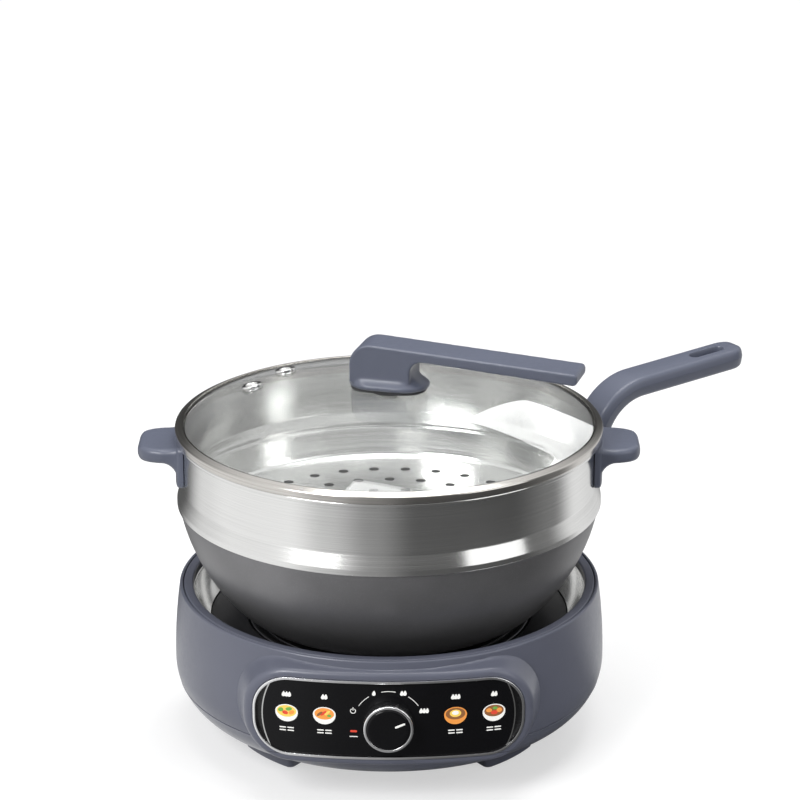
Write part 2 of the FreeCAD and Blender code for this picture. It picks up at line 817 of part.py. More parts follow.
def heater():
    coverTop = f"({bowlSeat} + coverRise)"
    rim = "(bowlFoot - bowlClearance)"
    cover = turned("HeatRing", [
        ("coverInner", f"{bowlSeat} - coverLip"),
        ("coverInner + coverWall", f"{bowlSeat} - coverLip"),
        ("coverInner + coverWall", f"{coverTop} - coverWall"),
        (f"{rim} - coverWall", f"{coverTop} - coverWall"),
        (f"{rim} - coverWall", bowlSeat),
        (rim, bowlSeat),
        (rim, coverTop, "coverWall"),
        ("coverInner", coverTop, "coverWall / 2"),
    ])
    named("heat_ring", cover)
    plate = turned("HeatingPlate", [
        ("plateHole", plateUnder),
        ("plateRadius", plateUnder),
        ("plateRadius", "plateHeight", "grooveDepth"),
        ("grooveRadius + grooveWidth", "plateHeight"),
        ("grooveRadius + grooveWidth", "plateHeight - grooveDepth"),
        ("grooveRadius", "plateHeight - grooveDepth"),
        ("grooveRadius", "plateHeight"),
        ("plateHole", "plateHeight"),
    ])
    named("heating_plate", plate)
    tray = turned("HeaterTray", [
        ("trayHole", f"{trayFloor} - sheetWall"),
        ("trayFloorRadius", f"{trayFloor} - sheetWall"),
        ("trayWallRadius", f"{flangeUnder}"),
        ("trayFlange", f"{flangeUnder}"),
        ("trayFlange", f"{flangeUnder} + sheetWall"),
        ("trayWallRadius - sheetWall", f"{flangeUnder} + sheetWall"),
        ("trayFloorRadius - sheetWall", trayFloor),
        ("trayHole", trayFloor),
    ])
    holes = screwHoles("TrayScrewHole", f"{flangeUnder} - 3", "6")
    leads = [cylinder(f"LeadHole{number}", "beadRadius", "6", *spot, f"{trayFloor} - 3")
             for number, spot in enumerate(leadSpots())]
    named("heater_tray", cut("TrayWithHoles", tray, *holes, *leads))
    posts = []
    for number in range(3):
        turn = f"(90 + {120 * number})"
        posts.append(cylinder(f"PlatePost{number}", "postRadius", f"{plateUnder} - {trayFloor}",
                              f"postCircle * cos{turn}", f"postCircle * sin{turn}", trayFloor))
    named("plate_posts", group("PlatePosts", posts))

    element = newBody("HeatingElement")
    sketch = sketchOn(element, "ElementSection", "XZ_Plane")
    circleOn(sketch, "elementRadius", "elementCircle", elementHeight)
    coil = element.newObject("PartDesign::Revolution", "ElementTurn")
    coil.Profile = sketch
    coil.ReferenceAxis = (sketch, ["V_Axis"])
    coil.Midplane = True
    bind(coil, "Angle", "elementSpan")
    element.Tip = coil
    named("heating_element", element)
    ends = []
    for number, (x, y) in enumerate(leadSpots()):
        top = f"({elementHeight} - elementRadius)"
        lead = cylinder(f"Lead{number}", "terminalRadius", f"{top} - {trayFloor} + terminalLength", x, y,
                        f"{trayFloor} - terminalLength")
        bead = cylinder(f"Bead{number}", "beadRadius - bowlClearance", "beadRadius * 2", x, y,
                        f"{trayFloor} - beadRadius")
        ends.append(fuse(f"Terminal{number}", lead, bead))
    named("element_terminals", group("ElementTerminals", ends))
    fuseBody = cylinder("ThermalFuse", "fuseRadius", "fuseLength", "-fuseLength / 2", "fuseCircle",
                        f"{trayFloor} - sheetWall - fuseRadius", (1, 0, 0))
    named("thermal_fuse", fuseBody)
    screws = []
    for number, spot in enumerate(screwSpots()):
        shank = cylinder(f"BowlScrewShank{number}", "screwRadius", f"screwLength + {bowlSeat} - {flangeUnder}",
                         *spot, f"{flangeUnder} - screwLength")
        cap = cylinder(f"BowlScrewHead{number}", "screwHead", "screwHeadHeight", *spot, bowlSeat)
        screws.append(fuse(f"BowlScrew{number}", shank, cap))
    named("bowl_screws", group("BowlScrews", screws))


def leadSpots():
    # Just inside both ends of the element, which is open towards -X
    turn = "(180 - (360 - elementSpan) / 2 - 4)"
    return [(f"elementCircle * cos{turn}", f"elementCircle * sin{turn}"),
            (f"elementCircle * cos{turn}", f"-elementCircle * sin{turn}")]


def sensor():
    floor = f"({trayFloor} + holderFloor)"
    top = "(plateHeight - holderTop)"
    inner = "(holderRadius - holderWall)"
    bore = "(stemRadius + stemClearance)"
    named("sensor_holder", turned("SensorHolder", [
        (bore, trayFloor),
        ("holderRadius", trayFloor),
        ("holderRadius", top, "holderWall / 3"),
        (inner, top, "holderWall / 3"),
        (inner, floor),
        ("guideRadius", floor),
        ("guideRadius", f"{floor} + guideHeight"),
        (bore, f"{floor} + guideHeight"),
    ]))
    capTop = "(plateHeight - capClearance)"
    skirt = "(capRadius - sheetWall)"
    named("sensor_cap", turned("SensorCap", [
        (skirt, f"{capTop} - capSkirt"),
        ("capRadius", f"{capTop} - capSkirt"),
        ("capRadius", capTop, "2 * sheetWall"),
        ("0", capTop),
        ("0", f"{capTop} - sheetWall"),
        (skirt, f"{capTop} - sheetWall", "sheetWall"),
    ]))
    clipTop = f"({trayFloor} - sensorTravel - capClearance)"
    low = f"({clipTop} - 3 * clipThickness)"
    stem = cylinder("StemRod", "stemRadius", f"{capTop} - sheetWall - {low}", "0", "0", low)
    clip = cylinder("StemClip", "clipRadius", "clipThickness", "0", "0", f"{clipTop} - clipThickness")
    named("sensor_stem", fuse("SensorStem", stem, clip))
    # A helix of round wire between the floor of the holder and the cap
    wire = value("springWire")
    low = value(floor) + wire
    high = value(f"{capTop} - sheetWall") - wire
    coil = Part.makeHelix((high - low) / value("springTurns"), high - low, value("springRadius"))
    coil.translate(Vector(0, 0, low))
    start = Vector(value("springRadius"), 0, low)
    section = Part.Wire(Part.Circle(start, Vector(0, 1, 0), wire).toShape())
    shape = Part.Wire(coil.Edges).makePipeShell([section], True, True)
    spring = doc.addObject("Part::Feature", "SensorSpring")
    spring.Shape = shape
    named("sensor_spring", spring)


def sector(inner, outer, span, spread="0"):
    # A piece of a ring whose two straight sides are moved outwards by the spread
    half = f"(({span}) / 2)"
    points = []
    for radius, side in ((inner, -1), (outer, -1), (outer, 1), (inner, 1)):
        along = f"sqrt(({radius})^2 - ({spread})^2)"
        points.append((f"{along} * cos{half} - ({spread}) * sin{half}",
                       f"{side} * ({along} * sin{half} + ({spread}) * cos{half})"))
    return [points[0] + (inner, "right"), points[1], points[2] + (outer, "left"), points[3]]


def upright(edge):
    spots = [vertex.Point for vertex in edge.Vertexes]
    if len(spots) < 2:
        return False
    rise = abs(spots[1].z - spots[0].z)
    return rise > 0.8 * (spots[1] - spots[0]).Length


def feet():
    turns = {"front_left": "270 - footAngle", "front_right": "270 + footAngle",
             "rear_left": "90 + footAngle", "rear_right": "90 - footAngle"}
    for corner, turn in turns.items():
        leg = solid("FootLeg_" + corner, sector("footInner", "footOuter", "footSpan"), "XY_Plane",
                    "feetHeight - padProud", "padProud")
        roundEdges(leg, "LegRound_" + corner, "footRound", upright)
        collar = solid("FootCollar_" + corner, sector(
            "footInner - footFlare", "footOuter + footFlare", "footSpan", "footFlare"), "XY_Plane",
            "footFlareHeight", "feetHeight - footFlareHeight")
        roundEdges(collar, "CollarRound_" + corner, "footRound", upright)
        inset = "padInset / footOuter * 57.3"
        path = sector("footInner + padInset", "footOuter - padInset", f"footSpan - 2 * {inset}")
        seat = solid("PadSeat_" + corner, path, "XY_Plane", "padHeight")
        whole = cut("Foot_" + corner, fuse("FootWhole_" + corner, leg, collar), seat)
        named("foot_" + corner, swing(whole, turn))
        rubber = solid("Pad_" + corner, path, "XY_Plane", "padHeight")
        named("pad_" + corner, swing(rubber, turn))


def panel():
    inset = "(bezelWidth + panelClearance / 5)"
    outer = bossOutline("0")
    inner = bossOutline("-bezelWidth")
    ring = panelLayer("BezelLayer", outer, "-bezelProud", "panelDepth")
    hole = solid("BezelHole", inner, "XZ_Plane", "panelFront", "panelFront / 2")
    named("panel_bezel", cut("PanelBezel", ring, hole))

    plate = panelLayer("TrayLayer", bossOutline(f"-{inset}"), "trayRecess", "panelDepth")
    dialZ = "(panelHeight - dialDrop)"
    behind = "(panelFront - 3 * panelDepth)"
    opening = cylinder("DialOpening", "bushRadius + bushClearance", "4 * panelDepth", "0", f"-{behind}", dialZ,
                       (0, -1, 0))
    edge = "(panelCurve - sqrt(panelCurve^2 - standoffSpacing^2))"
    reach = f"(panelFront - {edge} - (trayRecess + panelDepth) / 2)"
    studs = [cylinder(f"Standoff{number}", "standoffRadius", f"{reach} - boardDistance", side, "-boardDistance",
                      "boardHeight", (0, -1, 0)) for number, side in enumerate(("standoffSpacing",
                                                                               "-standoffSpacing"))]
    bores = [cylinder(f"StandoffBore{number}", "screwRadius", "2 * panelDepth", side, "-boardDistance + 1",
                      "boardHeight", (0, -1, 0)) for number, side in enumerate(("standoffSpacing",
                                                                               "-standoffSpacing"))]
    named("panel_tray", cut("PanelTray", fuse("TrayAndStuds", plate, *studs), opening, *bores))

    rise = f"(bezelTall / 2 - {inset})"
    middle = "(bezelLength / 2 - bezelWidth - glassEnd)"
    corner = f"({middle} - glassLead)"
    bulge = f"(({rise}^2 + glassLead^2) / (2 * glassLead))"
    face = panelLayer("GlassLayer", [
        (f"-{corner}", f"panelHeight - {rise}", bulge, "left"),
        (corner, f"panelHeight - {rise}"),
        (corner, f"panelHeight + {rise}", bulge, "left"),
        (f"-{corner}", f"panelHeight + {rise}"),
    ], "trayRecess - glassProud", "trayRecess")
    trim = solid("GlassTrim", bossOutline(f"-{inset}"), "XZ_Plane", "panelFront", "panelFront / 2")
    lensX = "-lensOffset"
    lensZ = "(panelHeight - lensDrop)"
    lensFront = "(panelCurve - sqrt(panelCurve^2 - lensOffset^2) - panelFront + trayRecess - glassProud)"
    lens = box("IndicatorLens", "lensLength", "lensDepth", "lensTall", f"{lensX} - lensLength / 2",
               f"{lensFront} - 0.2", f"{lensZ} - lensTall / 2")
    slot = box("LensSlot", "lensLength + 0.1", "lensDepth + 0.6", "lensTall + 0.1",
               f"{lensX} - lensLength / 2 - 0.05", f"{lensFront} - 0.6", f"{lensZ} - lensTall / 2 - 0.05")
    named("panel_glass", cut("PanelGlass", common("GlassTrimmed", face, trim), opening, slot))
    named("indicator_lens", lens)

    switchFront = "(panelFront - panelDepth - switchGap)"
    shell = box("SwitchShell", "switchSize", f"{switchFront} - boardDistance", "switchSize",
                "-switchSize / 2", f"-{switchFront}", f"{dialZ} - switchSize / 2")
    bush = cylinder("SwitchBush", "bushRadius", "panelDepth - trayRecess + 1", "0", f"-{switchFront}", dialZ,
                    (0, -1, 0))
    bore = cylinder("SwitchBore", "shaftRadius + shaftClearance", "switchSize", "0",
                    f"-{switchFront} + switchSize / 2", dialZ, (0, -1, 0))
    named("rotary_switch", cut("RotarySwitch", fuse("SwitchAndBush", shell, bush), bore))

    board = box("BoardPlate", "boardLength", "boardWall", "boardTall", "-boardLength / 2", "-boardDistance",
                "boardHeight - boardTall / 2")
    drills = [cylinder(f"BoardBore{number}", "screwRadius + 0.1", "4 * boardWall", side,
                       "-boardDistance + 2 * boardWall", "boardHeight", (0, -1, 0))
              for number, side in enumerate(("standoffSpacing", "-standoffSpacing"))]
    named("control_board", cut("ControlBoard", board, *drills))
    back = "(boardDistance - boardWall)"
    relay = box("Relay", "relayLength", "relayDepth", "relayTall", "-relayOffset - relayLength / 2", f"-{back}",
                "boardHeight - relayTall / 2")
    can = cylinder("Capacitor", "canRadius", "canDepth", "relayOffset / 2 + 8", f"-{back}",
                   "boardHeight - canRadius", (0, 1, 0))
    plug = box("WirePlug", "relayTall", "canRadius * 2", "canRadius * 2", "relayOffset - canRadius", f"-{back}",
               "boardHeight - canRadius")
    named("board_parts", group("BoardParts", [relay, can, plug]))
    screws = []
    for number, side in enumerate(("standoffSpacing", "-standoffSpacing")):
        shank = cylinder(f"BoardShank{number}", "screwRadius", "boardWall + panelDepth", side, f"-{back}",
                         "boardHeight", (0, -1, 0))
        cap = cylinder(f"BoardScrewHead{number}", "screwHead", "2 * screwHeadHeight", side, f"-{back}",
                       "boardHeight", (0, 1, 0))
        screws.append(fuse(f"BoardScrew{number}", shank, cap))
    named("board_screws", group("BoardScrews", screws))

    # Dial pieces are made upright and laid along -Y
    base = "(panelFront - trayRecess + glassProud + dialLift)"
    inside = "(dialRadius - dialRing)"
    ringBody = turned("DialRing", [
        (inside, "0"),
        ("dialRadius", "0"),
        ("dialRadius - 0.3", "dialHeight", "dialRing / 2"),
        (inside, "dialHeight", "dialRing / 4"),
    ])
    named("dial_ring", place(ringBody, "0", f"-{base}", dialZ, (0, -1, 0)))
    high = "(dialHeight + dialCapProud)"
    capBody = turned("DialCap", [
        ("0", "0"),
        (inside, "0"),
        (inside, high, "dialCapProud"),
        ("0", high),
    ])
    slotWay = [("dialRadius - dialRing - 2 - pointerLength", "-pointerWidth / 2"),
               ("dialRadius - dialRing - 2", "-pointerWidth / 2"),
               ("dialRadius - dialRing - 2", "pointerWidth / 2"),
               ("dialRadius - dialRing - 2 - pointerLength", "pointerWidth / 2")]
    drill(capBody, "ShaftHole", "shaftRadius", "0", "0", "XY_Plane", "0", "dialHeight * 0.7", True)
    mark = solid("PointerBlock", slotWay, "XY_Plane", "2 * dialCapProud", f"{high} - dialCapProud")
    swing(mark, "pointerAngle")
    cutCap = cut("DialFace", capBody, mark)
    named("dial_cap", place(cutCap, "0", f"-{base}", dialZ, (0, -1, 0)))
    pointer = solid("PointerBar", slotWay, "XY_Plane", "dialCapProud * 1.3", f"{high} - dialCapProud")
    swing(pointer, "pointerAngle")
    named("dial_pointer", place(group("DialPointer", [pointer]), "0", f"-{base}", dialZ, (0, -1, 0)))
    shaft = cylinder("DialShaft", "shaftRadius", "switchSize / 2 + dialHeight * 0.7 + 2", "0",
                     f"-{base} + switchSize / 2 + 2", dialZ, (0, -1, 0))
    named("dial_shaft", shaft)


def inlet():
    block = solid("InletBlock", centred("inletLength", "inletTall", "inletHeight", "inletCorner"), "XZ_Plane",
                  "inletDepth", "-inletFront")
    pocket(block, "InletCavity", centred("inletLength - 2 * inletWall", "inletTall - 2 * inletWall",
                                         "inletHeight", "inletCorner / 2"),
           "XZ_Plane", "inletCavity", "-inletFront", reverse=True)
    named("power_inlet", block)
    floor = "(inletFront - inletCavity)"
    pins = [cylinder(f"InletPin{number}", "inletPinRadius", "inletPinLength", side, floor, "inletHeight", (0, 1, 0))
            for number, side in enumerate(("-inletPinSpacing", "0", "inletPinSpacing"))]
    named("inlet_pins", group("InletPins", pins))


def stripCorner(x, y, before, after, offset):
    # Corner of a bent strip, offset to the right of the way along it
    share = f"(({offset}) / (1 + cos(({before}) - ({after}))))"
    return (f"({x}) + {share} * (sin({before}) + sin({after}))",
            f"({y}) - {share} * (cos({before}) + cos({after}))")


def bentStrip(x, y, legs, bends, half):
    # Outline of a strip of this half thickness along straight legs, each (length, direction)
    spots = [(x, y)]
    for length, way in legs:
        spots.append((f"({spots[-1][0]} + ({length}) * cos({way}))", f"({spots[-1][1]} + ({length}) * sin({way}))"))
    ways = [way for length, way in legs]
    right = [stripCorner(*spots[0], ways[0], ways[0], half)]
    left = [stripCorner(*spots[0], ways[0], ways[0], f"-({half})")]
    for index, bend in enumerate(bends):
        turnsLeft = value(ways[index + 1]) > value(ways[index])
        grow = 1 if turnsLeft else -1
        spot = spots[index + 1]
        right.append(stripCorner(*spot, ways[index], ways[index + 1], half) + (f"{bend} + {grow} * ({half})",))
        left.append(stripCorner(*spot, ways[index], ways[index + 1], f"-({half})")
                    + (f"{bend} - {grow} * ({half})",))
    right.append(stripCorner(*spots[-1], ways[-1], ways[-1], half))
    left.append(stripCorner(*spots[-1], ways[-1], ways[-1], f"-({half})"))
    return right + left[::-1]


def pan():
    rim = "(plateHeight + panDepth)"
    rimInner = panAt("panDepth", "panWall")
    shell = turned("PanShell", [
        ("0", "plateHeight"),
        ("panBaseRadius", "plateHeight"),
        (kneeX, f"plateHeight + {kneeRise}", "panHeelRadius", "left"),
        ("panRimRadius", rim, panArc, "left"),
        (rimInner, rim),
        (f"{kneeX} - panWall * sin(panHeelAngle)", f"plateHeight + {kneeRise} + panWall * cos(panHeelAngle)",
         f"{panArc} - panWall", "right"),
        ("panBaseRadius", "plateHeight + panWall", "panHeelRadius - panWall", "right"),
        ("0", "plateHeight + panWall"),
    ])
    rise = "(panDepth - rivetDrop)"
    lean = f"(90 + asin(({panCentreHeight} - {rise}) / {panArc}) / 1 deg)"
    height = f"(plateHeight + {rise})"
    turns = ("handleAzimuth - rivetAngle", "handleAzimuth + rivetAngle")
    holes = []
    rivets = []
    inner = panAt(rise, "panWall")
    reach = "(panWall + bracketGap + bracketWall)"
    for number, turn in enumerate(turns):
        holes.append(perch(cylinder(f"RivetHole{number}", "rivetShank", "6 * panWall"), turn, lean, inner, height,
                           "-3 * panWall"))
        rivet = turned(f"PanRivet{number}", [
            ("0", "-rivetHeight - rivetLift"),
            ("rivetHead", "-rivetLift", "(rivetHead^2 + rivetHeight^2) / (2 * rivetHeight)", "left"),
            ("rivetShank", "-rivetLift"),
            ("rivetShank", f"{reach} + rivetSeat"),
            ("rivetHead * 0.75", f"{reach} + rivetSeat"),
            ("rivetHead * 0.6", f"{reach} + rivetHeight / 2"),
            ("0", f"{reach} + rivetHeight / 2"),
        ])
        rivets.append(perch(rivet, turn, lean, inner, height))
    named("pan_shell", cut("PanBored", shell, *holes))
    named("pan_rivets", group("PanRivets", rivets))

    # Bracket: a plate that follows the wall, and a strap bent up into the handle
    near = "(-bracketGap)"
    far = "(-bracketGap - bracketWall)"
    low = "(panDepth - bracketBottom)"
    high = "(panDepth - bracketTop)"
    wing = turned("BracketPlate", [
        (panAt(low, near), f"plateHeight + {low}", f"{panArc} - {near}", "right"),
        (panAt(low, far), f"plateHeight + {low}"),
        (panAt(high, far), f"plateHeight + {high}", f"{panArc} - {far}", "left"),
        (panAt(high, near), f"plateHeight + {high}"),
    ], "bracketSpan")
    level = "(panDepth - strapDrop)"
    start = f"({panAt(level, near)} + bracketWall / 4)"
    fall = "(rootRise + strapDrop)"
    knee = f"(rootRadius - {fall} / tan(rootLean))"
    legs = [(f"{knee} - {start}", "0"), (f"{fall} / sin(rootLean) + strapReach", "rootLean")]
    strap = solid("BracketStrap", bentStrip(start, f"(plateHeight + {level})", legs, ["strapBend"],
                                            "bracketWall / 2"), "XZ_Plane", "strapWidth", both=True)
    swing(wing, "handleAzimuth")
    swing(strap, "handleAzimuth")
    bracket = cut("PanBracket", fuse("BracketWhole", wing, strap), *holes)

    # Handle: a thick strip in side view, rounded at the tip, with a slot to hang it by
    grip = solid("PanHandle", bentStrip(
        "rootRadius", f"({rim} + rootRise)", [("rootLeg", "rootLean"), ("handleReach", "handleSlope")],
        ["handleBend"], "handleThickness / 2"), "XZ_Plane", "handleWidth", both=True)
    tipX = "(rootRadius + rootLeg * cos(rootLean) + handleReach * cos(handleSlope))"
    tip = value(tipX)

    def atTip(edge):
        spots = [vertex.Point for vertex in edge.Vertexes]
        return all(spot.x > tip - 2 for spot in spots) and abs(spots[0].y - spots[-1].y) < 0.01

    roundEdges(grip, "HandleTip", "handleTipRound", atTip)

    def longEdge(edge):
        # Every edge but those across the handle and those through its thickness
        ends = [vertex.Point for vertex in edge.Vertexes]
        across = abs(ends[0].y - ends[-1].y)
        through = abs((ends[0] - ends[-1]).Length - value("handleThickness")) < 0.5
        return across < value("handleWidth") - 1 and not through

    roundEdges(grip, "HandleEdges", "handleRound", longEdge)
    slotX = f"({tipX} - hangDistance)"
    pocket(grip, "HangSlot", rectangle(
        f"{slotX} - hangLength / 2", f"{slotX} + hangLength / 2", "-hangWidth / 2", "hangWidth / 2",
        "hangWidth / 2.1"), "XY_Plane", f"4 * {rim}", both=True)
    swing(grip, "handleAzimuth")
    socket = solid("HandleSocket", bentStrip(
        start, f"(plateHeight + {level})",
        [legs[0], (f"{legs[1][0]} + 1", "rootLean")], ["strapBend"],
        "bracketWall / 2 + socketClearance"), "XZ_Plane", "strapWidth + 2 * socketClearance", both=True)
    swing(socket, "handleAzimuth")
    # The screw enters the underside of the root, square to the strap
    along = "(strapReach / 2)"
    screwX = f"(rootRadius + {along} * cos(rootLean) + handleThickness / 2 * sin(rootLean))"
    screwZ = f"({rim} + rootRise + {along} * sin(rootLean) - handleThickness / 2 * cos(rootLean))"
    shank = cylinder("GripShank", "gripScrewRadius", "gripScrewReach")
    cap = cylinder("GripHead", "gripScrewHead", "gripScrewHead / 2")
    screwTilt = "(rootLean - 180)"
    for thing in (shank, cap):
        perch(thing, "handleAzimuth", screwTilt, screwX, screwZ, "gripScrewHead / 2" if thing is shank else "0")
    named("pan_handle_screw", fuse("GripScrew", shank, cap))
    screwRoom = fuse("GripScrewRoom", shank, cap)
    named("pan_handle", cut("HandleBored", grip, socket, screwRoom))
    strapHole = perch(cylinder("StrapHole", "gripScrewRadius + 0.1", "gripScrewReach + 2"), "handleAzimuth",
                      screwTilt, screwX, screwZ)
    named("pan_bracket", cut("BracketBored", bracket, strapHole))


def steamer():
    rim = "(plateHeight + panDepth)"
    top = f"({rim} + steamerRise)"
    wall = "steamerWall"
    inner = f"(steamerRadius - {wall})"
    outer = f"(steamerRadius - {wall} + beadWidth + {wall})"
    flare = "(steamerRadius + flareReach)"
    skirtArc = f"({panArc} - panWall - skirtClearance)"
    floor = "(panDepth - steamerSkirt)"
    centreZ = f"(plateHeight + {panCentreHeight})"

    def skirtAt(height, inset):
        return f"({panCentre} + sqrt(({skirtArc} - ({inset}))^2 - (({height}) - {centreZ})^2))"

    bottom = f"({rim} - steamerSkirt)"
    bend = f"({bottom} + skirtBend)"
    shell = turned("SteamerShell", [
        ("0", bottom),
        (f"{skirtAt(bend, '0')} - skirtBend", bottom),
        (skirtAt(bend, "0"), bend, "skirtBend", "left"),
        (skirtAt(rim, "0"), rim, skirtArc, "left"),
        (flare, rim),
        (flare, f"{rim} + flareBottom"),
        ("steamerRadius", f"{rim} + flareTop"),
        ("steamerRadius", f"{top} - beadHeight"),
        (outer, f"{top} - beadHeight", "beadRound"),
        (outer, top, "beadRound"),
        (inner, top, f"{wall}"),
        (inner, f"{rim} + flareTop - {wall} / 2"),
        (f"{flare} - {wall}", f"{rim} + flareBottom - {wall} / 2"),
        (f"{flare} - {wall}", f"{rim} + {wall}"),
        (skirtAt(f"{rim} + {wall}", wall), f"{rim} + {wall}"),
        (skirtAt(bend, wall), bend, f"{skirtArc} - {wall}", "right"),
        (f"{skirtAt(bend, '0')} - skirtBend", f"{bottom} + {wall}", f"skirtBend - {wall}", "right"),
        ("0", f"{bottom} + {wall}"),
    ])
    drill(shell, "SteamHole", "holeRadius", "0", "0", "XY_Plane", f"{bottom} + 5", "10")
    for ring in range(1, 6):
        hole = drill(shell, f"SteamHole{ring}", "holeRadius", f"{ring} * holePitch", "0", "XY_Plane",
                     f"{bottom} + 5", "10")
        around(shell, f"SteamRing{ring}", hole, str(6 * ring))

    height = f"({top} - wingRivetDrop)"
    holes = []
    rivets = []
    reach = "wingGap + wingFlange * 0.7"
    turns = ("wingRivetAngle", "-wingRivetAngle", "180 + wingRivetAngle", "180 - wingRivetAngle")
    for number, turn in enumerate(turns):
        holes.append(perch(cylinder(f"WingHole{number}", "wingRivetShank", f"{reach} + 6 * {wall}"), turn, "90",
                           inner, height, f"-5 * {wall}"))
        rivet = turned(f"WingRivet{number}", [
            ("0", "-wingRivetHeight - rivetSeat"),
            ("wingRivetHead", "-rivetSeat",
             "(wingRivetHead^2 + wingRivetHeight^2) / (2 * wingRivetHeight)", "left"),
            ("wingRivetShank", "-rivetSeat"),
            ("wingRivetShank", f"{wall} + {reach}"),
            ("0", f"{wall} + {reach}"),
        ])
        rivets.append(perch(rivet, turn, "90", inner, height))
    named("steamer_body", cut("SteamerBored", shell, *holes))
    named("steamer_rivets", group("SteamerRivets", rivets))

    for side, turn in (("right", "360"), ("left", "180")):
        wing = turned("Wing_" + side, [
            ("steamerRadius + wingGap", f"{top} - wingBottom"),
            ("steamerRadius + wingGap + wingFlange", f"{top} - wingBottom"),
            ("steamerRadius + wingGap + wingFlange", f"{top} - wingTop"),
            ("steamerRadius + wingGap", f"{top} - wingTop"),
        ], "wingSpan")
        root = "(steamerRadius + wingGap + 0.6)"
        pad(wing, "Paddle_" + side, [
            (root, "-wingRootWidth / 2"),
            ("wingReach", "-wingTipWidth / 2", "wingCorner"),
            ("wingReach", "wingTipWidth / 2", "wingCorner"),
            (root, "wingRootWidth / 2"),
        ], "XY_Plane", "wingThickness", f"{top} - wingDrop - wingThickness")
        flange = value("steamerRadius + wingGap + wingFlange")
        level = value(f"{top} - wingDrop")

        def paddleEdge(edge):
            spots = [edge.valueAt(edge.FirstParameter + share * (edge.LastParameter - edge.FirstParameter))
                     for share in (0, 0.5, 1)]
            flat = abs(spots[0].z - spots[2].z) < 0.01 and abs(spots[1].z - spots[0].z) < 0.01
            return (flat and spots[1].x > flange + 2 and max(spot.z for spot in spots) < level + 0.01
                    and min(spot.z for spot in spots) > level - value("wingThickness") - 0.01)

        roundEdges(wing, "PaddleRound_" + side, "wingRound", paddleEdge)
        swing(wing, turn)
        named("steamer_handle_" + side, cut("WingBored_" + side, wing, *holes))


